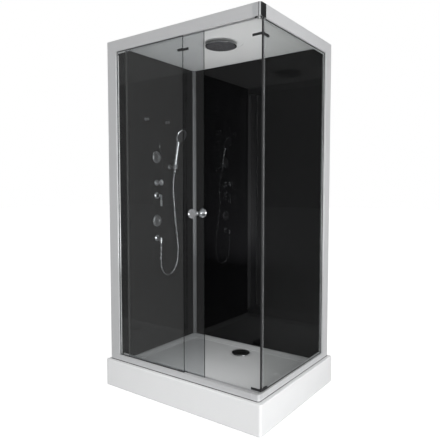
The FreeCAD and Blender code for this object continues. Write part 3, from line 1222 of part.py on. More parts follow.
def robe_hooks():
    """Two small pegs on the left wall."""
    shapes = []
    for y in HOOK_Y:
        shapes.append(turned([(0, 0), (0, 11.0), (3.0, 11.0), (4.0, 5.0), (20.0, 5.0), (22.0, 9.0),
                              (26.0, 9.5),
                              (28.0, 7.5), (28.0, 0)], (WALL_X, y, HOOK_Z), AXIS_X))
    return group(shapes)


def mounting_nuts():
    """Nuts of the feet, of the overhead shower and of what is clamped through the left wall."""
    nuts = [hexagon_nut(9.8, ROD_RADIUS, (x, y, FRAME_TUBE_Z - 8.0), 8.0) for x in FOOT_X for y in FOOT_Y]
    nuts.append(hexagon_nut(17.0, THREAD_HALF_INCH, (RAIN_X, RAIN_Y, CEILING_Z + ROOF), ROOF_NUT))
    behind = [(11.0, 3.0, y, HOOK_Z) for y in HOOK_Y]
    behind += [(12.0, 3.0, HOLDER_Y, HOLDER_Z), (17.0, THREAD_HALF_INCH, FITTINGS_Y, ELBOW_Z)]
    behind += [(JET_HOUSING + 5.0, JET_HOUSING, FITTINGS_Y, z) for z in JET_Z]
    nuts += [ring(outer, bore, (WALL_OUT_X - 7.0, y, z), AXIS_X, 7.0) for outer, bore, y, z in behind]
    return group(nuts)


# ---------------------------------------------------------------- pipes behind the wall
RAIN_PIPE_Y = FITTINGS_Y - 60.0
HOSE_PIPE_Y = FITTINGS_Y - 74.0
JET_PIPE_Y = FITTINGS_Y + 76.0


def supply_pipes():
    """Pipes behind the left wall, from the mixer to the diverter and on to every outlet."""
    x = PIPE_X
    mixed = ring(PIPE_RADIUS, PIPE_RADIUS - 2.0, (x, FITTINGS_Y, MIXER_Z + PORT), AXIS_Z,
                 DIVERTER_Z - MIXER_Z - 2 * PORT)
    rain = pipe([(x, FITTINGS_Y, DIVERTER_Z + PORT), (x, FITTINGS_Y, DIVERTER_Z + PORT + 26.0),
                 (x, RAIN_PIPE_Y, DIVERTER_Z + PORT + 70.0), (x, RAIN_PIPE_Y, ROOF_PIPE_Z),
                 (x + 90.0, RAIN_Y, ROOF_PIPE_Z), (RAIN_X - ROOF_ARM, RAIN_Y, ROOF_PIPE_Z)])
    spigot = FITTINGS_Y + JET_HOUSING + 12.0
    jets = pipe([(x, spigot, JET_Z[0]), (x, JET_PIPE_Y, JET_Z[0]), (x, JET_PIPE_Y, JET_Z[1]),
                 (x, spigot, JET_Z[1])])
    branch = rod(PIPE_RADIUS, (x, FITTINGS_Y + PORT, DIVERTER_Z), AXIS_Y,
                 JET_PIPE_Y - FITTINGS_Y - PORT - 4.0)
    hose = pipe([(x, FITTINGS_Y - PORT, DIVERTER_Z), (x, HOSE_PIPE_Y, DIVERTER_Z),
                 (x, HOSE_PIPE_Y, ELBOW_Z),
                 (x, FITTINGS_Y - PORT, ELBOW_Z)])
    return group([mixed, rain, jets.fuse(branch), hose])


# ---------------------------------------------------------------- parts list
PARTS = {
    "tray": tray,
    "drain_flange": drain_flange,
    "drain_gasket": drain_gasket,
    "drain_trap": drain_trap,
    "drain_cup": drain_cup,
    "drain_cover": drain_cover,
    "underframe": underframe,
    "feet": feet,
    "bottom_rail_front": bottom_rail_front,
    "bottom_rail_side": bottom_rail_side,
    "bottom_corner_joint": bottom_corner_joint,
    "threshold_strip": threshold_strip,
    "top_rail_front": top_rail_front,
    "top_rail_side": top_rail_side,
    "top_corner_cover": top_corner_cover,
    "post_front_left": post_front_left,
    "post_back_right": post_back_right,
    "post_back_left": post_back_left,
    "wall_angles": wall_angles,
    "fixed_glass_front": fixed_glass_front,
    "fixed_glass_side": fixed_glass_side,
    "glazing_gaskets": glazing_gaskets,
    "left_wall_panel": left_wall_panel,
    "back_wall_panel": back_wall_panel,
    "roof_panel": roof_panel,
    "door_glass": door_glass,
    "door_knobs": door_knobs,
    "knob_stud": knob_stud,
    "door_hangers": lambda: group([hanger(x) for x in HANGER_X]),
    "hanger_screws": hanger_screws,
    "door_wheel_left": lambda: wheel(HANGER_X[0]),
    "door_wheel_right": lambda: wheel(HANGER_X[1]),
    "door_rear_seal": door_rear_seal,
    "track_stops": track_stops,
    "door_guides": door_guides,
    "closing_seal": closing_seal,
    "closing_stops": lambda: group([closing_stop(z) for z in STOP_Z]),
    "glass_clip": glass_clip,
    "rain_head_shell": rain_head_shell,
    "rain_head_face": rain_head_face,
    "roof_elbow": roof_elbow,
    "jet_housings": lambda: group([jet_housing(z) for z in JET_Z]),
    "jet_nozzle_upper": lambda: jet_nozzle(JET_Z[0]),
    "jet_nozzle_lower": lambda: jet_nozzle(JET_Z[1]),
    "diverter_valve": diverter_valve,
    "diverter_knob": diverter_knob,
    "mixer_valve": mixer_valve,
    "mixer_hub": mixer_hub,
    "mixer_lever": mixer_lever,
    "valve_plates": lambda: group([diverter_plate(), mixer_plate()]),
    "outlet_elbow": outlet_elbow,
    "hose_nut_lower": lambda: hose_nut(HOSE_START + AXIS_Z * NUT_LENGTH, -AXIS_Z),
    "hose_nut_upper": lambda: hose_nut(HANDLE_FOOT, -HANDLE_AXIS),
    "shower_hose": shower_hose,
    "shower_holder": shower_holder,
    "handset": handset,
    "handset_face": handset_face,
    "robe_hooks": robe_hooks,
    "mounting_nuts": mounting_nuts,
    "supply_pipes": supply_pipes,
}


def main():
    os.makedirs("parts", exist_ok=True)
    for name, make in PARTS.items():
        make().exportStep("parts/%s.step" % name)


main()
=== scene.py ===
"""Shower cabin: finishes, hose and studio for the rebuilt part, laid out as an add-on."""

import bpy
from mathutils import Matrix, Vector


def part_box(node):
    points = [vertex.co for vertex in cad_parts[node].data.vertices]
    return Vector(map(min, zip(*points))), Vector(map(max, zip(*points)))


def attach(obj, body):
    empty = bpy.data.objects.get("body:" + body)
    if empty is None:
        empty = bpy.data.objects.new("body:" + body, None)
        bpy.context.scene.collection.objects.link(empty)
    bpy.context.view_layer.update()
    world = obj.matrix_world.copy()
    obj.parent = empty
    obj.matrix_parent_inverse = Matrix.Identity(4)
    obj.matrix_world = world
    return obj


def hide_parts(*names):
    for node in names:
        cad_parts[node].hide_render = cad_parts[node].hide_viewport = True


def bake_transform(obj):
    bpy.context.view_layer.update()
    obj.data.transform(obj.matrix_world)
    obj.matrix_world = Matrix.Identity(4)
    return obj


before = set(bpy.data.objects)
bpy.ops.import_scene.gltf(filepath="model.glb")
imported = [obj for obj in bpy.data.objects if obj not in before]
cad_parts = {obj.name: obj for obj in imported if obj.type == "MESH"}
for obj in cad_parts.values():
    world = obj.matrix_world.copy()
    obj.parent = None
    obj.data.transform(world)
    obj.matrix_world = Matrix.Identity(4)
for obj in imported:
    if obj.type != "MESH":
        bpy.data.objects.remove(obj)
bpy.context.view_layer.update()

import math

import bpy
from mathutils import Vector

bl_info = {
    "name": "Shower cabin",
    "version": (1, 0, 0),
    "blender": (4, 5, 0),
    "location": "View3D > Sidebar > Shower cabin",
    "description": "Finishes, hose and studio for a shower cabin with a sliding door",
    "category": "Object",
}

# how a grain is stretched: it is drawn out along the axis with the small number
ANYWHERE = (1.0, 1.0, 1.0)
ALONG_X = (0.02, 1.0, 1.0)
ALONG_Y = (1.0, 0.02, 1.0)
ALONG_Z = (1.0, 1.0, 0.02)

# sizes of the cabin that the finishes and trims follow, in metres
RIM_HEIGHT = 0.17                    # top of the tray's rim, where the rails stand
LEDGE_HEIGHT = RIM_HEIGHT - 0.035    # ledge that the wall panels stand on
BASIN_FLOOR = RIM_HEIGHT - 0.052     # floor of the basin at the foot of its slope
TRAY_SKIRT = 0.016                   # depth of the tray's outer sides
UNSHADED_STRIP = 0.010                  # strip of ledge along the wall panels that the painted shade leaves at full colour
RAIL_FACE_X = 0.55                   # outer face of the side rails
RAIL_FACE_Y = -0.425                 # outer face of the front rails
CORNER_ROUND = 0.016                 # rounding of the front right corner
JOINT_OUT = 0.0008                   # how far the dark strip, a silicone line that also stands for painted shade in the gap, stands out from the rails
JOINT_HEIGHT = 0.0035
SEAL_BULB = 0.0085                   # depth of the closing seal's dark bulb
THREAD_RADIUS = 0.01048              # outside radius of a G1/2 thread
MASK_EDGE = 0.001                    # width over which one finish passes into the next

# what all finishes share
ROUGH_SPREAD = 0.04                  # how far the grain takes the roughness up and down
WET_ROUGHNESS = 0.1                  # how much rougher dried water makes a surface
LIGHTEST = 0.95                      # the lightest that a rubbed edge gets
PANE_PASS = 0.93                     # share of the light that untinted glass lets through


# ---------------------------------------------------------------- small helpers
def add(tree, kind, inputs=None, **settings):
    """A new node with its settings, and its inputs set to values or linked to sockets."""
    made = tree.nodes.new(kind)
    for key, value in settings.items():
        setattr(made, key, value)
    for key, value in (inputs or {}).items():
        if isinstance(value, bpy.types.NodeSocket):
            tree.links.new(value, made.inputs[key])
        else:
            made.inputs[key].default_value = value
    return made


def math_node(tree, operation, first, second=0.0, third=0.0):
    """The result of one sum, as a socket."""
    made = add(tree, "ShaderNodeMath", {0: first, 1: second, 2: third}, operation=operation)
    return made.outputs[0]


def spread(tree, value, low, high, to_low=0.0, to_high=1.0):
    """A value taken from one range to another and held inside it."""
    made = add(tree, "ShaderNodeMapRange",
               {"Value": value, "From Min": low, "From Max": high, "To Min": to_low, "To Max": to_high})
    return made.outputs["Result"]


def blend_colours(tree, factor, first, second):
    """A colour between two others."""
    made = add(tree, "ShaderNodeMix", {0: factor, 6: first, 7: second}, data_type="RGBA")
    return made.outputs[2]


def rgba(colour, factor=1.0):
    """Three channels, scaled, with the fourth that sockets want."""
    return (colour[0] * factor, colour[1] * factor, colour[2] * factor, 1.0)


def scaled(colour, factor):
    """A colour made darker or lighter."""
    return [factor * channel for channel in colour]


def toned(tree, pattern, colour, amount):
    """A colour that a pattern makes darker and lighter by the same share."""
    return blend_colours(tree, pattern, rgba(colour, 1.0 - amount), rgba(colour, 1.0 + amount))


def mesh_object(name, vertices, faces, material, smooth=False):
    """A mesh with one material, as an object of the scene."""
    mesh = bpy.data.meshes.new(name)
    mesh.from_pydata(vertices, [], faces)
    mesh.materials.append(material)
    for polygon in mesh.polygons:
        polygon.use_smooth = smooth
    made = bpy.data.objects.new(name, mesh)
    bpy.context.scene.collection.objects.link(made)
    return made


def group(name, sockets_in, sockets_out):
    """An empty node group with named sockets; gives the tree, its input node and its output node."""
    tree = bpy.data.node_groups.new(name, "ShaderNodeTree")
    for label, kind, default in sockets_in:
        socket = tree.interface.new_socket(name=label, in_out="INPUT", socket_type=kind)
        socket.default_value = default
    for label, kind in sockets_out:
        tree.interface.new_socket(name=label, in_out="OUTPUT", socket_type=kind)
    return tree, tree.nodes.new("NodeGroupInput"), tree.nodes.new("NodeGroupOutput")


# ---------------------------------------------------------------- shared effects
def grain_group():
    """Fine grain, drawn out along one direction for extruded and brushed parts."""
    tree, given, out = group("Grain", [("Stretch", "NodeSocketVector", ANYWHERE),
                                       ("Scale", "NodeSocketFloat", 600.0)],
                             [("Tone", "NodeSocketFloat"), ("Height", "NodeSocketFloat")])
    place = add(tree, "ShaderNodeTexCoord").outputs["Object"]
    drawn = add(tree, "ShaderNodeVectorMath", {0: place, 1: given.outputs["Stretch"]},
                operation="MULTIPLY").outputs[0]
    fine = add(tree, "ShaderNodeTexNoise",
               {"Vector": drawn, "Scale": given.outputs["Scale"], "Detail": 3.0})
    broad_scale = math_node(tree, "MULTIPLY", given.outputs["Scale"], 0.07)
    broad = add(tree, "ShaderNodeTexNoise", {"Vector": drawn, "Scale": broad_scale, "Detail": 2.0})
    tone = math_node(tree, "MULTIPLY_ADD", fine.outputs["Fac"], 0.5,
                     math_node(tree, "MULTIPLY", broad.outputs["Fac"], 0.5))
    tree.links.new(tone, out.inputs["Tone"])
    tree.links.new(fine.outputs["Fac"], out.inputs["Height"])
    return tree


def edge_group():
    """Softened edges: a rounded normal and a mask of where the edges are rubbed."""
    tree, given, out = group("Soft edges", [("Radius", "NodeSocketFloat", 0.0008)],
                             [("Normal", "NodeSocketVector"), ("Rubbed", "NodeSocketFloat")])
    soft = add(tree, "ShaderNodeBevel", {"Radius": given.outputs["Radius"]}, samples=4)
    flat = add(tree, "ShaderNodeNewGeometry")
    same = add(tree, "ShaderNodeVectorMath", {0: soft.outputs[0], 1: flat.outputs["Normal"]},
               operation="DOT_PRODUCT")
    turn = spread(tree, same.outputs["Value"], 0.995, 0.85)
    place = add(tree, "ShaderNodeTexCoord").outputs["Object"]
    patches = add(tree, "ShaderNodeTexNoise", {"Vector": place, "Scale": 60.0, "Detail": 4.0})
    uneven = spread(tree, patches.outputs["Fac"], 0.4, 0.65)
    tree.links.new(soft.outputs[0], out.inputs["Normal"])
    tree.links.new(math_node(tree, "MULTIPLY", turn, uneven), out.inputs["Rubbed"])
    return tree


def film_group():
    """Wiped water marks: large soft patches broken up by small dried spots."""
    tree, given, out = group("Water marks", [("Scale", "NodeSocketFloat", 5.0)],
                             [("Marks", "NodeSocketFloat")])
    place = add(tree, "ShaderNodeTexCoord").outputs["Object"]
    patches = add(tree, "ShaderNodeTexNoise",
                  {"Vector": place, "Scale": given.outputs["Scale"], "Detail": 5.0, "Distortion": 0.6})
    cells = add(tree, "ShaderNodeTexVoronoi", {"Vector": place, "Scale": 140.0}, feature="F1")
    spots = spread(tree, cells.outputs["Distance"], 0.22, 0.12)
    soft = spread(tree, patches.outputs["Fac"], 0.45, 0.75)
    both = math_node(tree, "MULTIPLY_ADD", math_node(tree, "MULTIPLY", spots, soft), 0.4,
                     math_node(tree, "MULTIPLY", soft, 0.6))
    tree.links.new(both, out.inputs["Marks"])
    return tree


def spangle_group():
    """Crystals of zinc or a cast skin: cells of slightly different tone."""
    tree, given, out = group("Spangle", [("Scale", "NodeSocketFloat", 120.0)],
                             [("Tone", "NodeSocketFloat"), ("Height", "NodeSocketFloat")])
    place = add(tree, "ShaderNodeTexCoord").outputs["Object"]
    cells = add(tree, "ShaderNodeTexVoronoi", {"Vector": place, "Scale": given.outputs["Scale"]})
    grey = add(tree, "ShaderNodeSeparateColor", {"Color": cells.outputs["Color"]})
    tree.links.new(grey.outputs[0], out.inputs["Tone"])
    tree.links.new(cells.outputs["Distance"], out.inputs["Height"])
    return tree


EFFECTS = {"grain": grain_group, "edges": edge_group, "marks": film_group, "spangle": spangle_group}
GROUPS = {}                          # the effects that have been built so far


def shared(tree, name, inputs=None):
    """One of the shared effects, placed in a material; each group is built once."""
    if name not in GROUPS:
        GROUPS[name] = EFFECTS[name]()
    return add(tree, "ShaderNodeGroup", inputs, node_tree=GROUPS[name]).outputs


# ---------------------------------------------------------------- materials
def new_material(name):
    """An empty node material with its output."""
    made = bpy.data.materials.new(name)
    made.use_nodes = True
    tree = made.node_tree
    tree.nodes.clear()
    return made, tree, add(tree, "ShaderNodeOutputMaterial")


def covered(tree, out, inputs):
    """The material's shader, with its inputs, joined to the output."""
    shader = add(tree, "ShaderNodeBsdfPrincipled", inputs)
    tree.links.new(shader.outputs[0], out.inputs["Surface"])


def grained(tree, tone, low, high):
    """A roughness between two values that follows the grain."""
    return spread(tree, tone, 0.3, 0.7, low, high)


def bumped(tree, height, depth, normal=None):
    """A bump of a real depth in metres."""
    inputs = {"Height": height, "Distance": depth, "Strength": 1.0}
    if normal is not None:
        inputs["Normal"] = normal
    return add(tree, "ShaderNodeBump", inputs).outputs[0]


def surface(name, colour, rough, metallic=0.0, stretch=ANYWHERE, grain=600.0, depth=0.00002,
            tone=0.06, rub=1.15, edge=0.0008):
    """A finish with grain, softened and rubbed edges and a little wiped water."""
    made, tree, out = new_material(name)
    fine = shared(tree, "grain", {"Stretch": stretch, "Scale": grain})
    edges = shared(tree, "edges", {"Radius": edge})
    wet = shared(tree, "marks")
    varied = toned(tree, fine["Tone"], colour, tone)
    worn = rgba([min(channel, LIGHTEST) for channel in scaled(colour, rub)])
    dry = grained(tree, fine["Tone"], rough - ROUGH_SPREAD, rough + ROUGH_SPREAD)
    covered(tree, out,
            {"Base Color": blend_colours(tree, edges["Rubbed"], varied, worn),
             "Roughness": math_node(tree, "MULTIPLY_ADD", wet["Marks"], WET_ROUGHNESS, dry),
             "Metallic": metallic,
             "Normal": bumped(tree, fine["Height"], depth, edges["Normal"])})
    return made


def spangled(name, colour, rough, scale, tone=0.18, depth=0.00005):
    """Galvanised or cast metal, with cells of tone and a dull rubbed edge."""
    made, tree, out = new_material(name)
    cells = shared(tree, "spangle", {"Scale": scale})
    edges = shared(tree, "edges", {"Radius": 0.001})
    varied = toned(tree, cells["Tone"], colour, tone)
    covered(tree, out,
            {"Base Color": blend_colours(tree, edges["Rubbed"], varied, rgba(colour, 1.5)),
             "Roughness": spread(tree, cells["Tone"], 0.0, 1.0, rough - 0.08, rough + 0.08),
             "Metallic": 1.0,
             "Normal": bumped(tree, cells["Height"], depth, edges["Normal"])})
    return made


def tinted_glass(name, tint):
    """Float glass with a grey tint; lamps and soft light pass straight through it."""
    made, tree, out = new_material(name)
    wet = shared(tree, "marks", {"Scale": 2.5})
    fine = shared(tree, "grain", {"Scale": 3.0})
    even = blend_colours(tree, fine["Tone"], rgba(tint, 0.985), rgba(tint, 1.0))
    colour = blend_colours(tree, wet["Marks"], even, rgba(tint, 0.97))
    body = add(tree, "ShaderNodeBsdfPrincipled",
               {"Base Color": colour, "Roughness": 0.0, "Metallic": 0.0, "IOR": 1.5,
                "Transmission Weight": 1.0,
                "Normal": bumped(tree, fine["Height"], 0.00004)})
    one_face = [math.sqrt(channel) for channel in scaled(tint, PANE_PASS)]
    clear = add(tree, "ShaderNodeBsdfTransparent", {"Color": rgba(one_face)})
    path = add(tree, "ShaderNodeLightPath").outputs
    passing = math_node(tree, "MAXIMUM", path["Is Shadow Ray"], path["Is Diffuse Ray"])
    mixed = add(tree, "ShaderNodeMixShader", {0: passing, 1: body.outputs[0], 2: clear.outputs[0]})
    tree.links.new(mixed.outputs[0], out.inputs["Surface"])
    return made


def black_glass(name, colour):
    """Glass painted black behind: a clear hard face over an even dark ground."""
    made, tree, out = new_material(name)
    wet = shared(tree, "marks", {"Scale": 3.0})
    fine = shared(tree, "grain", {"Scale": 2.0})
    covered(tree, out,
            {"Base Color": toned(tree, fine["Tone"], colour, 0.1),
             "Roughness": spread(tree, wet["Marks"], 0.0, 1.0, 0.015, 0.05),
             "IOR": 1.5, "Specular IOR Level": 0.35,
             "Normal": bumped(tree, fine["Height"], 0.00004)})
    return made


def clear_seal(name, colour):
    """Soft clear plastic that light passes through, a little cloudy."""
    made, tree, out = new_material(name)
    fine = shared(tree, "grain", {"Stretch": ALONG_Z, "Scale": 700.0})
    cloudy = blend_colours(tree, fine["Tone"], rgba(colour, 0.92), rgba(colour, 1.0))
    covered(tree, out,
            {"Base Color": cloudy, "Roughness": grained(tree, fine["Tone"], 0.3, 0.42),
             "Transmission Weight": 0.7,
             "Normal": bumped(tree, fine["Height"], 0.00003)})
    return made


def along_axis(tree, axis, low, high):
    """A mask that goes from 0 to 1 between two places on one of the object's own axes."""
    place = add(tree, "ShaderNodeTexCoord").outputs["Object"]
    split = add(tree, "ShaderNodeSeparateXYZ", {0: place})
    return spread(tree, split.outputs[axis], low, high)


def edge_seal(name, colour):
    """Push-on seal of a pane's edge: a dark bulb in front and thin clear cheeks on the glass."""
    made, tree, out = new_material(name)
    fine = shared(tree, "grain", {"Stretch": ALONG_Z, "Scale": 800.0})
    bulb_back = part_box("closing_seal")[0][1] + SEAL_BULB
    cheek = along_axis(tree, "Y", bulb_back, bulb_back + 0.0004)
    dark = toned(tree, fine["Tone"], colour, 0.15)
    covered(tree, out,
            {"Base Color": blend_colours(tree, cheek, dark, (0.35, 0.355, 0.36, 1.0)),
             "Roughness": grained(tree, fine["Tone"], 0.46, 0.56), "Specular IOR Level": 0.3,
             "Alpha": spread(tree, cheek, 0.0, 1.0, 1.0, 0.12),
             "Normal": bumped(tree, fine["Height"], 0.00003)})
    return made


def tray_acrylic(name, colour):
    """Gloss acrylic, with painted shade that darkens the ledge and slope round the floor of the basin.
    """
    made, tree, out = new_material(name)
    fine = shared(tree, "grain", {"Scale": 130.0})
    edges = shared(tree, "edges", {"Radius": 0.003})
    wet = shared(tree, "marks")
    tray_low, tray_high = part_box("tray")
    wall_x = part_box("left_wall_panel")[1][0]
    wall_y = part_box("back_wall_panel")[0][1]
    # mask of the painted shade: the basin's slope and ledge, short of the tray's outer sides and of a
    # strip along the wall panels
    foot = BASIN_FLOOR + MASK_EDGE / 2.0
    inside = along_axis(tree, "Z", foot, foot + MASK_EDGE)
    for axis, border, inward in (("Z", LEDGE_HEIGHT + 2.0 * MASK_EDGE, -MASK_EDGE),
                                 ("X", tray_high[0] - TRAY_SKIRT, -MASK_EDGE),
                                 ("Y", tray_low[1] + TRAY_SKIRT, MASK_EDGE),
                                 ("X", wall_x + UNSHADED_STRIP, MASK_EDGE),
                                 ("Y", wall_y - UNSHADED_STRIP, -MASK_EDGE)):
        mask = along_axis(tree, axis, border, border + inward)
        inside = math_node(tree, "MULTIPLY", inside, mask)
    varied = toned(tree, fine["Tone"], colour, 0.02)
    rubbed = blend_colours(tree, edges["Rubbed"], varied, rgba(colour, 1.05))
    dry = grained(tree, fine["Tone"], 0.16, 0.24)
    # painted shade: the slope and ledge take 0.68 of the acrylic's colour
    covered(tree, out,
            {"Base Color": blend_colours(tree, inside, rubbed, rgba(colour, 0.68)),
             "Roughness": math_node(tree, "MULTIPLY_ADD", wet["Marks"], WET_ROUGHNESS, dry),
             "Coat Weight": 0.3, "Coat Roughness": 0.08,
             "Normal": bumped(tree, fine["Height"], 0.00004, edges["Normal"])})
    return made


def corner_cover(name, colour, low, high):
    """Plated corner cover: a satin leg along the front and a bright polished corner."""
    made, tree, out = new_material(name)
    fine = shared(tree, "grain", {"Stretch": ALONG_Z, "Scale": 700.0})
    edges = shared(tree, "edges", {"Radius": 0.0012})
    corner = along_axis(tree, "X", low, high)
    varied = toned(tree, fine["Tone"], colour, 0.04)
    covered(tree, out,
            {"Base Color": blend_colours(tree, edges["Rubbed"], varied, rgba(colour, 1.15)),
             "Roughness": spread(tree, corner, 0.0, 1.0, 0.3, 0.1),
             "Metallic": spread(tree, corner, 0.0, 1.0, 0.6, 1.0),
             "Normal": bumped(tree, fine["Height"], 0.00002, edges["Normal"])})
    return made


def paint(material, *names):
    """The material goes on every material slot of these nodes."""
    for name in names:
        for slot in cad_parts[name].material_slots:
            slot.material = material


# ---------------------------------------------------------------- sizes and colours
class ShowerFinishes(bpy.types.PropertyGroup):
    """Colours of the cabin's materials."""
    acrylic: bpy.props.FloatVectorProperty(
        name="Acrylic", description="Colour of the tray", subtype="COLOR", default=(0.79, 0.795, 0.80))
    aluminium: bpy.props.FloatVectorProperty(
        name="Aluminium", description="Colour of the satin profiles", subtype="COLOR",
        default=(0.71, 0.715, 0.725))
    chrome: bpy.props.FloatVectorProperty(
        name="Chrome", description="Colour of the plated fittings", subtype="COLOR",
        default=(0.74, 0.75, 0.77))
    side_pane: bpy.props.FloatVectorProperty(
        name="Side pane", description="Tint of the fixed pane on the side", subtype="COLOR",
        default=(0.83, 0.845, 0.84))
    front_pane: bpy.props.FloatVectorProperty(
        name="Front pane", description="Tint of the fixed pane in front", subtype="COLOR",
        default=(0.975, 0.985, 0.98))
    door_pane: bpy.props.FloatVectorProperty(
        name="Door pane", description="Tint of the door's pane", subtype="COLOR",
        default=(0.67, 0.685, 0.695))
    wall: bpy.props.FloatVectorProperty(
        name="Wall glass", description="Paint behind the wall panels", subtype="COLOR",
        default=(0.0035, 0.0035, 0.0038))
    ceiling: bpy.props.FloatVectorProperty(
        name="Ceiling", description="Colour of the roof panel", subtype="COLOR",
        default=(0.63, 0.635, 0.635))


class ShowerHose(bpy.types.PropertyGroup):
    """Sizes of the hand shower's hose."""
    radius: bpy.props.FloatProperty(
        name="Radius", description="Outside radius of the hose", default=0.007, unit="LENGTH")
    rib_pitch: bpy.props.FloatProperty(
        name="Rib pitch", description="Distance from rib to rib of the wound cover", default=0.0032,
        unit="LENGTH")
    rib_depth: bpy.props.FloatProperty(
        name="Rib depth", description="Depth of the groove between two ribs", default=0.0005,
        unit="LENGTH")


class ShowerHead(bpy.types.PropertyGroup):
    """Sizes of the overhead shower."""
    radius: bpy.props.FloatProperty(
        name="Radius", description="Outside radius of the overhead shower", default=0.097,
        unit="LENGTH")
    ring_step: bpy.props.FloatProperty(
        name="Ring step", description="Distance between two rings of nozzles", default=0.0165,
        unit="LENGTH")
    nozzle_rings: bpy.props.IntProperty(
        name="Nozzle rings", description="Number of rings of nozzles", default=5, min=1)


class ShowerStudio(bpy.types.PropertyGroup):
    """The lamps and the camera."""
    key_power: bpy.props.FloatProperty(
        name="Right lamp", description="Power of the lamp on the right", default=136.0, unit="POWER")
    front_power: bpy.props.FloatProperty(
        name="Front lamp", description="Power of the lamp in front", default=64.0, unit="POWER")
    tray_power: bpy.props.FloatProperty(
        name="Tray lamp", description="Power of the small lamp inside that shines on the tray",
        default=1.45, unit="POWER")
    ceiling_power: bpy.props.FloatProperty(
        name="Ceiling lamp", description="Power of the small lamp inside that shines up", default=11.2,
        unit="POWER")
    room_light: bpy.props.FloatProperty(
        name="Room light", description="Soft light from all around", default=0.42, min=0.0)
    lens: bpy.props.FloatProperty(
        name="Lens", description="Focal length of the camera", default=38.8, subtype="DISTANCE_CAMERA")


# ---------------------------------------------------------------- studio
CAMERA_PLACE = (1.7606, -2.4315, 1.2382)    # solved from the long edges in the photograph
CAMERA_TURN = (86.503, 0.0, 35.924)         # in degrees
SENSOR_WIDTH = 36.0                         # in millimetres

# each lamp's place, the point that it looks at, and its width
RIGHT_LAMP = ((3.9, -1.0, 1.25), (0.4, 0.0, 0.8), 3.0)
FRONT_LAMP = ((-0.4, -4.8, 1.6), (0.0, 0.0, 0.8), 1.8)
CEILING_LAMP = ((0.0, -0.05, 0.7), (0.0, -0.05, 2.0), 0.6)
TRAY_LAMP = ((0.02, -0.33, 0.7), (0.02, -0.33, 0.0), 0.3)

# directions in the room: the camera looks past the cabin towards what is behind it
BEHIND = (-0.59, 0.81, 0.0)
FRONT_LEFT = (-0.59, -0.81, 0.0)
CAMERA_SIDE = (0.59, -0.81, 0.0)
ABOVE = (0.0, 0.0, 1.0)

PANE_MIRROR = 0.2           # what the front panes mirror, to the front left
DARK_MIRROR = 0.03          # what the side pane mirrors, to the back right
CEILING_MIRROR = 0.5        # how much brighter the room is mirrored from above
FLOOR_GLOW = 0.7            # what keeps the floor white to the camera
FLOOR_HALF = 30.0           # half the width of the floor
WHITE = (1.0, 1.0, 1.0)


def area_lamp(name, place, aim, size, power):
    """A square lamp that looks at a point."""
    data = bpy.data.lights.new(name, "AREA")
    data.shape = "SQUARE"
    data.size = size
    data.energy = power
    lamp = bpy.data.objects.new(name, data)
    lamp.location = place
    lamp.rotation_euler = (Vector(aim) - Vector(place)).to_track_quat("-Z", "Y").to_euler()
    bpy.context.scene.collection.objects.link(lamp)
    return lamp


def direction_lobe(tree, direction, towards, low, high):
    """How far a direction points the given way, from 0 to 1."""
    along = add(tree, "ShaderNodeVectorMath", {0: direction, 1: towards}, operation="DOT_PRODUCT")
    return spread(tree, along.outputs["Value"], low, high)


def mirrored_room(tree, direction):
    """How far a direction points behind the cabin and to its front left, each from 0 to 1."""
    behind = direction_lobe(tree, direction, BEHIND, 0.8, 0.97)
    front_left = direction_lobe(tree, direction, FRONT_LEFT, 0.2, 0.7)
    return behind, front_left


def studio_world(room_light):
    """White to the camera and through the panes, soft all round, and darker where panes mirror it."""
    world = bpy.data.worlds.new("Studio")
    world.use_nodes = True
    tree = world.node_tree
    tree.nodes.clear()
    path = add(tree, "ShaderNodeLightPath").outputs
    direction = add(tree, "ShaderNodeTexCoord").outputs["Generated"]
    behind, front_left = mirrored_room(tree, direction)
    above = direction_lobe(tree, direction, ABOVE, 0.35, 0.9)
    camera_side = direction_lobe(tree, direction, CAMERA_SIDE, 0.8, 0.95)
    mirrored = math_node(tree, "MULTIPLY_ADD", front_left, PANE_MIRROR - DARK_MIRROR,
                         math_node(tree, "MULTIPLY_ADD", above, CEILING_MIRROR, DARK_MIRROR))
    mirrored = math_node(tree, "MAXIMUM", mirrored, math_node(tree, "MAXIMUM", behind, camera_side))
    lit = math_node(tree, "GREATER_THAN", path["Diffuse Depth"], 0.5)
    not_mirror = math_node(tree, "LESS_THAN", path["Glossy Depth"], 0.5)
    seen = math_node(tree, "MAXIMUM", path["Is Camera Ray"],
                     math_node(tree, "MULTIPLY", path["Is Transmission Ray"], not_mirror))
    value = add(tree, "ShaderNodeMix", {0: seen, 2: mirrored, 3: 1.0}).outputs[0]
    value = add(tree, "ShaderNodeMix", {0: lit, 2: value, 3: room_light}).outputs[0]
    background = add(tree, "ShaderNodeBackground", {"Color": rgba(WHITE), "Strength": value})
    out = add(tree, "ShaderNodeOutputWorld")
    tree.links.new(background.outputs[0], out.inputs["Surface"])
    bpy.context.scene.world = world


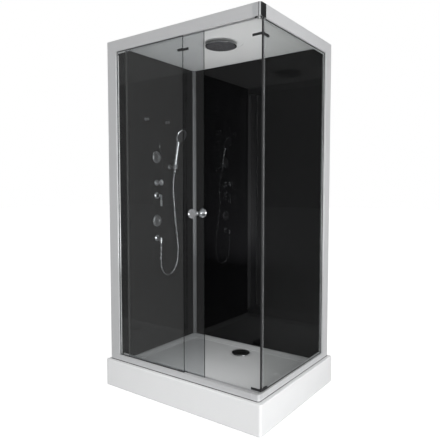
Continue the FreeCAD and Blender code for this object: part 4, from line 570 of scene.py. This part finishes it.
def studio_floor():
    """A plain white floor that keeps a faint shadow; panes mirror it darker than it is."""
    made, tree, out = new_material("Studio floor")
    fine = shared(tree, "grain", {"Scale": 40.0})
    path = add(tree, "ShaderNodeLightPath").outputs
    white = blend_colours(tree, fine["Tone"], rgba(WHITE, 0.84), rgba(WHITE, 0.88))
    mirrored = math_node(tree, "GREATER_THAN", path["Glossy Depth"], 0.5)
    place = add(tree, "ShaderNodeTexCoord").outputs["Object"]
    outward = add(tree, "ShaderNodeVectorMath", {0: place}, operation="NORMALIZE").outputs[0]
    behind, front_left = mirrored_room(tree, outward)
    mirror_glow = math_node(tree, "MULTIPLY_ADD", front_left, PANE_MIRROR - DARK_MIRROR, DARK_MIRROR)
    mirror_glow = math_node(tree, "MAXIMUM", mirror_glow, behind)
    through = math_node(tree, "MULTIPLY", path["Is Transmission Ray"],
                        math_node(tree, "SUBTRACT", 1.0, mirrored))
    seen = math_node(tree, "MAXIMUM", path["Is Camera Ray"], through)
    glow = math_node(tree, "MULTIPLY_ADD", seen, FLOOR_GLOW,
                     math_node(tree, "MULTIPLY", mirrored, mirror_glow))
    covered(tree, out,
            {"Base Color": blend_colours(tree, mirrored, white, rgba(WHITE, 0.02)),
             "Roughness": 0.9, "Specular IOR Level": 0.0,
             "Emission Color": rgba(WHITE), "Emission Strength": glow,
             "Normal": bumped(tree, fine["Height"], 0.0002)})
    corners = [(x * FLOOR_HALF, y * FLOOR_HALF, 0.0) for x, y in ((-1, -1), (1, -1), (1, 1), (-1, 1))]
    return mesh_object("Studio floor", corners, [(0, 1, 2, 3)], made)


class SHOWER_OT_studio(bpy.types.Operator):
    """Camera, lamps, white floor and soft light around"""
    bl_idname = "shower.studio"
    bl_label = "Studio"

    def execute(self, context):
        scene = context.scene
        sizes = scene.shower_studio
        data = bpy.data.cameras.new("Camera")
        data.lens = sizes.lens
        data.sensor_width = SENSOR_WIDTH
        camera = bpy.data.objects.new("Camera", data)
        camera.location = CAMERA_PLACE
        camera.rotation_euler = [math.radians(angle) for angle in CAMERA_TURN]
        scene.collection.objects.link(camera)
        scene.camera = camera
        right = area_lamp("Right lamp", *RIGHT_LAMP, sizes.key_power)
        front = area_lamp("Front lamp", *FRONT_LAMP, sizes.front_power)
        inner = [area_lamp("Ceiling lamp", *CEILING_LAMP, sizes.ceiling_power),
                 area_lamp("Tray lamp", *TRAY_LAMP, sizes.tray_power)]
        for lamp in [front] + inner:        # the walls and panes don't mirror these
            lamp.visible_glossy = False
            lamp.visible_transmission = False
        for lamp in inner:                  # and these aren't seen at all
            lamp.visible_camera = False
        studio_world(sizes.room_light)
        studio_floor()
        scene.view_settings.view_transform = "Standard"
        return {"FINISHED"}


# ---------------------------------------------------------------- hose
# the places that the hose passes, from the wall's elbow to the handle, as in the part's source
HOSE_ROUTE = [(-0.499, -0.008, 0.864), (-0.499, -0.008, 0.800), (-0.502, -0.008, 0.716),
              (-0.505, 0.032, 0.652), (-0.506, 0.102, 0.642), (-0.505, 0.160, 0.694),
              (-0.502, 0.177, 0.784), (-0.500, 0.169, 0.882), (-0.498, 0.150, 0.980),
              (-0.497, 0.135, 1.080), (-0.498, 0.128, 1.180), (-0.50696, 0.126, 1.2741),
              (-0.49168, 0.126, 1.36076)]
HOSE_SIDES = 20
RINGS_PER_RIB = 4
LINE_STEPS = 24              # points of the line from one place of the route to the next


def hose_line():
    """The points of the hose's middle line, read from a spline through the route."""
    data = bpy.data.curves.new("Hose line", "CURVE")
    data.dimensions = "3D"
    data.resolution_u = LINE_STEPS
    spline = data.splines.new("NURBS")
    spline.points.add(len(HOSE_ROUTE) - 1)
    for point, place in zip(spline.points, HOSE_ROUTE):
        point.co = (*place, 1.0)
    spline.order_u = 3
    spline.use_endpoint_u = True
    line = bpy.data.objects.new("Hose line", data)
    bpy.context.scene.collection.objects.link(line)
    bpy.context.view_layer.update()
    mesh = bpy.data.meshes.new_from_object(line)
    points = [vertex.co.copy() for vertex in mesh.vertices]
    bpy.data.objects.remove(line)
    return points


def stations(points, step):
    """Places along a line at even steps, each with the line's direction there."""
    lengths = [(b - a).length for a, b in zip(points, points[1:])]
    total = sum(lengths)
    count = round(total / step)
    found = []
    index, passed = 0, 0.0
    for number in range(count + 1):
        wanted = total * number / count
        while index < len(lengths) - 1 and passed + lengths[index] < wanted:
            passed += lengths[index]
            index += 1
        share = (wanted - passed) / lengths[index]
        place = points[index].lerp(points[index + 1], min(share, 1.0))
        before, after = max(index - 2, 0), min(index + 3, len(points) - 1)
        found.append((place, (points[after] - points[before]).normalized()))
    return found, total


def ring_faces(count, sides):
    """Faces between rings of vertices, one ring after the other, and a face over each end."""
    faces = []
    for ring in range(count - 1):
        low, high = ring * sides, (ring + 1) * sides
        for k in range(sides):
            nxt = (k + 1) % sides
            faces.append((low + k, low + nxt, high + nxt, high + k))
    last = (count - 1) * sides
    faces.append(tuple(reversed(range(sides))))
    faces.append(tuple(range(last, last + sides)))
    return faces


def ribbed_tube(name, points, sizes, material):
    """A tube round a line with shallow ribs, closed at both ends; gives its line and length too."""
    rings, total = stations(points, sizes.rib_pitch / RINGS_PER_RIB)
    side = Vector((0.0, 1.0, 0.0)).cross(rings[0][1]).normalized()
    vertices = []
    for number, (place, along) in enumerate(rings):
        side = (side - along * side.dot(along)).normalized()
        other = along.cross(side)
        turn = 2.0 * math.pi * number / RINGS_PER_RIB
        here = sizes.radius - sizes.rib_depth * (0.5 - 0.5 * math.cos(turn))
        for k in range(HOSE_SIDES):
            angle = 2.0 * math.pi * k / HOSE_SIDES
            vertices.append(tuple(place + (side * math.cos(angle) + other * math.sin(angle)) * here))
    faces = ring_faces(len(rings), HOSE_SIDES)
    tube = mesh_object(name, vertices, faces, material, smooth=True)
    return tube, [place for place, along in rings], total


class SHOWER_OT_hose(bpy.types.Operator):
    """The hand shower's metal hose, from the wall elbow to the handle"""
    bl_idname = "shower.hose"
    bl_label = "Hose"

    def execute(self, context):
        sizes = context.scene.shower_hose
        finish = context.scene.shower_finishes
        metal = surface("hose_metal", scaled(finish.chrome, 0.7), 0.25, 1.0, grain=900.0,
                        edge=0.0002, tone=0.08)
        tube, line, total = ribbed_tube("hose", hose_line(), sizes, metal)
        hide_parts("shower_hose")
        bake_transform(tube)
        return {"FINISHED"}


# ---------------------------------------------------------------- trims
TRIM_FRONT = 0.006           # from the wall panel to the black strip's face
TRIM_BACK = 0.0046           # from the wall panel to the strip's back
TRIM_LAP = 0.0005            # how far the strip reaches past the post
TRIM_GAP = 0.001             # gap from the strip to the side pane
CORNER_STEPS = 6


def flat_bar(name, corners, low, high, material, soften):
    """An upright bar over a closed outline, with softened edges, fixed to the cabin."""
    count = len(corners)
    vertices = [(x, y, z) for z in (low, high) for x, y in corners]
    faces = [tuple(reversed(range(count))), tuple(range(count, 2 * count))]
    faces += [(k, (k + 1) % count, (k + 1) % count + count, k + count) for k in range(count)]
    bar = mesh_object(name, vertices, faces, material)
    rounded = bar.modifiers.new("Softened edges", "BEVEL")
    rounded.width = soften
    rounded.segments = 2
    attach(bar, "cabin")


def joint_outline():
    """The outline of the joint round the front right corner, outer side first."""
    turn_x, turn_y = RAIL_FACE_X - CORNER_ROUND, RAIL_FACE_Y + CORNER_ROUND
    outer = [(-RAIL_FACE_X, RAIL_FACE_Y - JOINT_OUT)]
    inner = [(-RAIL_FACE_X, RAIL_FACE_Y + JOINT_OUT)]
    for step in range(CORNER_STEPS + 1):
        angle = math.radians(90.0 * (step / CORNER_STEPS - 1.0))
        for line, radius in ((outer, CORNER_ROUND + JOINT_OUT), (inner, CORNER_ROUND - JOINT_OUT)):
            line.append((turn_x + radius * math.cos(angle), turn_y + radius * math.sin(angle)))
    outer.append((RAIL_FACE_X + JOINT_OUT, -RAIL_FACE_Y))
    inner.append((RAIL_FACE_X - JOINT_OUT, -RAIL_FACE_Y))
    return outer + inner[::-1]


class SHOWER_OT_trims(bpy.types.Operator):
    """Black strip inside the back right post and a dark strip between tray and rails: a silicone line,
    with painted shade for the gap there
    """
    bl_idname = "shower.trims"
    bl_label = "Trims"

    def execute(self, context):
        finish = context.scene.shower_finishes
        post_low, post_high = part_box("post_back_right")
        glass_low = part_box("fixed_glass_side")[0]
        wall_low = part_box("back_wall_panel")[0]
        left, right = post_low[0] - TRIM_LAP, glass_low[0] - TRIM_GAP
        front, back = wall_low[1] - TRIM_FRONT, wall_low[1] - TRIM_BACK
        flat_bar("wall_trim", [(left, front), (right, front), (right, back), (left, back)],
                 post_low[2], post_high[2], black_glass("wall_trim", finish.wall), 0.0004)
        # painted shade, partly: the dark strip between tray and rails stands for a silicone line and
        # for the shade in the gap
        dark = surface("joint_silicone_and_shade", (0.05, 0.05, 0.052), 0.6, grain=900.0)
        flat_bar("tray_joint", joint_outline(), RIM_HEIGHT, RIM_HEIGHT + JOINT_HEIGHT, dark, 0.0003)
        return {"FINISHED"}


# ---------------------------------------------------------------- overhead shower
TURNED_SIDES = 96
NOZZLE_SIDES = 12
NECK_RADIUS = 0.026
NECK_TOP = 0.024
PLATE_INSET = 0.006          # how far the nozzle plate ends inside the shell's edge
PLATE_THICKNESS = 0.002
NOZZLE_REACH = 0.0045        # from the top of the plate to the tips of the nozzles
NOZZLE_RADIUS = 0.0024


def turned(profile, sides):
    """Vertices and faces of a profile of radius and height turned round the upright axis."""
    vertices = []
    for radius, height in profile:
        for k in range(sides):
            angle = 2.0 * math.pi * k / sides
            vertices.append((radius * math.cos(angle), radius * math.sin(angle), height))
    return vertices, ring_faces(len(profile), sides)


def turned_piece(name, shapes, place, material, stands_for):
    """One piece from several turned shapes, each with its own place, that stands for a CAD node."""
    vertices, faces = [], []
    for (x, y), profile, sides in shapes:
        more, rows = turned(profile, sides)
        first = len(vertices)
        vertices += [(x + vx, y + vy, vz) for vx, vy, vz in more]
        faces += [tuple(first + index for index in face) for face in rows]
    piece = mesh_object(name, vertices, faces, material, smooth=True)
    piece.data.set_sharp_from_angle(angle=math.radians(35.0))
    piece.location = place
    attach(piece, "cabin")
    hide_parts(stands_for)


def shell_profile(radius, top):
    """Radius and height of the shell, from its lower edge over its back to the neck's thread."""
    edge = [(radius - 0.004, 0.0), (radius - 0.0012, 0.0008), (radius, 0.0025), (radius, 0.005)]
    back = [(radius - 0.0025, 0.0066), (radius - 0.012, 0.008), (0.6 * radius, 0.0094)]
    neck = [(0.040, 0.011), (0.030, 0.014), (NECK_RADIUS, 0.020), (NECK_RADIUS, NECK_TOP)]
    return edge + back + neck + [(THREAD_RADIUS, NECK_TOP), (THREAD_RADIUS, top)]


def plate_profile(radius, top):
    """Radius and height of the nozzle plate, with a rounded edge."""
    return [(radius - 0.0085, top - PLATE_THICKNESS), (radius - 0.007, top - 0.0016),
            (radius - PLATE_INSET, top - 0.0008), (radius - PLATE_INSET, top)]


def nozzle_profile(top):
    """Radius and height of one soft nozzle, which widens towards the plate."""
    return [(NOZZLE_RADIUS / 2.0, top - NOZZLE_REACH), (0.0017, top - 0.0042),
            (NOZZLE_RADIUS, top - PLATE_THICKNESS), (NOZZLE_RADIUS, top - 0.001)]


class SHOWER_OT_rain_head(bpy.types.Operator):
    """The overhead shower's shell and nozzle plate, at the width that the photograph shows"""
    bl_idname = "shower.rain_head"
    bl_label = "Overhead shower"

    def execute(self, context):
        sizes = context.scene.shower_head
        finish = context.scene.shower_finishes
        low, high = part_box("rain_head_shell")
        place = ((low[0] + high[0]) / 2.0, (low[1] + high[1]) / 2.0, low[2])
        shell = shell_profile(sizes.radius, high[2] - low[2])
        chrome = surface("rain_head_chrome", scaled(finish.chrome, 0.7), 0.26, 1.0, grain=300.0,
                         tone=0.03)
        turned_piece("rain_head_body", [((0.0, 0.0), shell, TURNED_SIDES)], place, chrome,
                     "rain_head_shell")
        plate_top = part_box("rain_head_face")[1][2] - low[2]
        shapes = [((0.0, 0.0), plate_profile(sizes.radius, plate_top), TURNED_SIDES)]
        nozzle = nozzle_profile(plate_top)
        for number in range(1, sizes.nozzle_rings + 1):
            ring = number * sizes.ring_step
            for k in range(6 * number):
                angle = 2.0 * math.pi * k / (6 * number)
                spot = (ring * math.cos(angle), ring * math.sin(angle))
                shapes.append((spot, nozzle, NOZZLE_SIDES))
        grey = surface("nozzle_grey", (0.066, 0.066, 0.07), 0.5, grain=900.0, depth=0.00004)
        turned_piece("rain_head_plate", shapes, place, grey, "rain_head_face")
        return {"FINISHED"}


# ---------------------------------------------------------------- finishes
class SHOWER_OT_tray(bpy.types.Operator):
    """Finish of the tray, its drain, the steel frame below and the feet"""
    bl_idname = "shower.tray"
    bl_label = "Tray and drain"

    def execute(self, context):
        finish = context.scene.shower_finishes
        paint(tray_acrylic("white_acrylic", finish.acrylic), "tray")
        paint(surface("drain_metal", finish.chrome, 0.14, 1.0), "drain_flange")
        # painted reflection: the drain cover is a dark copy of the drain's chrome, for the black walls
        # that it mirrors
        paint(surface("drain_cover_metal", (0.30, 0.305, 0.31), 0.3, 1.0, depth=0.00003),
              "drain_cover")
        paint(surface("soft_rubber", (0.03, 0.03, 0.032), 0.7, grain=900.0, rub=1.6),
              "drain_gasket", "track_stops")
        paint(surface("trap_plastic", (0.72, 0.72, 0.70), 0.45, grain=300.0), "drain_trap", "drain_cup")
        paint(spangled("frame_steel", (0.42, 0.43, 0.44), 0.42, 90.0), "underframe")
        paint(spangled("foot_metal", (0.50, 0.50, 0.51), 0.35, 400.0, tone=0.08), "feet")
        return {"FINISHED"}


class SHOWER_OT_profiles(bpy.types.Operator):
    """Finish of the aluminium profiles and the corner pieces"""
    bl_idname = "shower.profiles"
    bl_label = "Profiles"

    def execute(self, context):
        finish = context.scene.shower_finishes
        runs = {"x": (ALONG_X, ["bottom_rail_front", "threshold_strip", "top_rail_front"]),
                "y": (ALONG_Y, ["bottom_rail_side", "top_rail_side"]),
                "z": (ALONG_Z, ["post_front_left", "post_back_right"])}
        for letter, (stretch, names) in runs.items():
            paint(surface("satin_aluminium_" + letter, finish.aluminium, 0.5, 0.45, stretch=stretch,
                          grain=900.0, depth=0.00002, tone=0.05, edge=0.0012), *names)
        # painted shade: the back left post is a darker copy of the same aluminium, at 0.42 of its
        # colour, for the shaded corner
        paint(surface("corner_aluminium_painted_shade", scaled(finish.aluminium, 0.42), 0.55, 0.45,
                      stretch=ALONG_Z, grain=900.0, tone=0.05), "post_back_left")
        paint(surface("mill_aluminium", (0.60, 0.61, 0.62), 0.42, 1.0, grain=700.0, tone=0.1),
              "wall_angles")
        turn = RAIL_FACE_X - CORNER_ROUND
        paint(corner_cover("corner_chrome", finish.chrome, turn, turn + 2.0 * MASK_EDGE),
              "top_corner_cover")
        paint(surface("corner_pale", (0.78, 0.79, 0.80), 0.42, 0.5, depth=0.00003, edge=0.0015),
              "bottom_corner_joint")
        return {"FINISHED"}


class SHOWER_OT_glass(bpy.types.Operator):
    """Finish of the panes, the black wall panels, the roof and the gaskets"""
    bl_idname = "shower.glass"
    bl_label = "Glass and panels"

    def execute(self, context):
        finish = context.scene.shower_finishes
        paint(tinted_glass("side_glass", finish.side_pane), "fixed_glass_side")
        paint(tinted_glass("front_glass", finish.front_pane), "fixed_glass_front")
        paint(tinted_glass("door_glass_tint", finish.door_pane), "door_glass")
        paint(black_glass("black_glass", finish.wall), "left_wall_panel", "back_wall_panel")
        paint(surface("gasket_black", (0.02, 0.02, 0.021), 0.65, grain=800.0, rub=1.8),
              "glazing_gaskets")
        paint(edge_seal("edge_seal", (0.012, 0.012, 0.013)), "closing_seal")
        paint(surface("roof_plastic", finish.ceiling, 0.45, grain=260.0, depth=0.00005, tone=0.03),
              "roof_panel")
        return {"FINISHED"}


class SHOWER_OT_door(bpy.types.Operator):
    """Finish of the sliding door's hangers, wheels, knobs, seals, guides and stops"""
    bl_idname = "shower.door"
    bl_label = "Door hardware"

    def execute(self, context):
        finish = context.scene.shower_finishes
        paint(surface("knob_chrome", finish.chrome, 0.2, 0.85, edge=0.0006), "door_knobs")
        paint(surface("stud_steel", (0.55, 0.55, 0.56), 0.3, 1.0, grain=1500.0), "knob_stud")
        paint(spangled("hanger_metal", (0.60, 0.61, 0.62), 0.38, 700.0, tone=0.06, depth=0.00002),
              "door_hangers")
        paint(surface("screw_steel", (0.5, 0.5, 0.51), 0.3, 1.0, grain=1500.0), "hanger_screws")
        paint(surface("wheel_nylon", (0.78, 0.78, 0.75), 0.4, grain=900.0, depth=0.00003),
              "door_wheel_left", "door_wheel_right")
        paint(clear_seal("clear_seal", (0.16, 0.165, 0.165)), "door_rear_seal")
        paint(surface("guide_nylon", (0.06, 0.06, 0.065), 0.5, grain=900.0, depth=0.00003),
              "door_guides")
        paint(surface("clip_black", (0.02, 0.02, 0.022), 0.45, grain=900.0, depth=0.00003),
              "closing_stops", "glass_clip")
        return {"FINISHED"}


class SHOWER_OT_fittings(bpy.types.Operator):
    """Finish of the shower heads, jets, valves, hooks, nuts and pipes"""
    bl_idname = "shower.fittings"
    bl_label = "Fittings"

    def execute(self, context):
        finish = context.scene.shower_finishes
        paint(surface("fitting_chrome", finish.chrome, 0.12, 1.0, grain=300.0, tone=0.03),
              "mixer_hub", "hose_nut_lower", "hose_nut_upper")
        paint(surface("knob_bright", finish.chrome, 0.28, 0.9, grain=300.0, tone=0.03),
              "diverter_knob", "mixer_lever", "outlet_elbow", "valve_plates")
        paint(surface("fitting_satin", scaled(finish.chrome, 0.5), 0.3, 0.9, grain=300.0, tone=0.03),
              "jet_housings", "shower_holder", "robe_hooks")
        # painted highlight: the handset's chrome is a lighter copy of the chrome, at 1.1 of its colour,
        # making up for lamp highlights
        paint(surface("handset_chrome_painted_highlight", scaled(finish.chrome, 1.1), 0.24, 0.9, grain=300.0, tone=0.03),
              "handset")
        paint(surface("handset_grey", (0.02, 0.02, 0.022), 0.45, grain=900.0, depth=0.00004),
              "handset_face")
        paint(surface("jet_face", (0.30, 0.305, 0.31), 0.3, 0.9, depth=0.00003),
              "jet_nozzle_upper", "jet_nozzle_lower")
        paint(surface("valve_brass", (0.62, 0.50, 0.26), 0.34, 1.0, grain=500.0, depth=0.00004,
                      tone=0.1), "diverter_valve", "mixer_valve")
        paint(surface("nut_brass", (0.66, 0.54, 0.30), 0.26, 1.0, grain=1400.0, tone=0.08),
              "roof_elbow", "mounting_nuts")
        paint(surface("pipe_plastic", (0.72, 0.72, 0.70), 0.4, grain=300.0, tone=0.04), "supply_pipes")
        return {"FINISHED"}


# ---------------------------------------------------------------- panel
SIZE_GROUPS = {"shower_studio": ShowerStudio, "shower_hose": ShowerHose,
               "shower_head": ShowerHead, "shower_finishes": ShowerFinishes}
TITLES = {"shower_studio": "Studio", "shower_hose": "Hose",
          "shower_head": "Overhead shower", "shower_finishes": "Finishes"}
OPERATORS = (SHOWER_OT_studio, SHOWER_OT_hose, SHOWER_OT_trims, SHOWER_OT_rain_head, SHOWER_OT_tray,
             SHOWER_OT_profiles, SHOWER_OT_glass, SHOWER_OT_door, SHOWER_OT_fittings)


class SHOWER_PT_cabin(bpy.types.Panel):
    """Sizes, colours and steps of the shower cabin"""
    bl_idname = "SHOWER_PT_cabin"
    bl_label = "Shower cabin"
    bl_space_type = "VIEW_3D"
    bl_region_type = "UI"
    bl_category = "Shower cabin"

    def draw(self, context):
        for group_name, title in TITLES.items():
            sizes = getattr(context.scene, group_name)
            box = self.layout.box()
            box.label(text=title)
            for name in sizes.__annotations__:
                box.prop(sizes, name)
        for operator in OPERATORS:
            self.layout.operator(operator.bl_idname)


CLASSES = tuple(SIZE_GROUPS.values()) + OPERATORS + (SHOWER_PT_cabin,)


def register():
    """Classes, and the scene's groups of sizes and colours."""
    for cls in CLASSES:
        bpy.utils.register_class(cls)
    for group_name, cls in SIZE_GROUPS.items():
        setattr(bpy.types.Scene, group_name, bpy.props.PointerProperty(type=cls))


def unregister():
    """Takes off what register put on."""
    for group_name in SIZE_GROUPS:
        delattr(bpy.types.Scene, group_name)
    for cls in reversed(CLASSES):
        bpy.utils.unregister_class(cls)


def main():
    """Runs every step in order."""
    register()
    bpy.ops.shower.studio()
    bpy.ops.shower.hose()
    bpy.ops.shower.trims()
    bpy.ops.shower.rain_head()
    bpy.ops.shower.tray()
    bpy.ops.shower.profiles()
    bpy.ops.shower.glass()
    bpy.ops.shower.door()
    bpy.ops.shower.fittings()


if __name__ == "__main__":
    main()
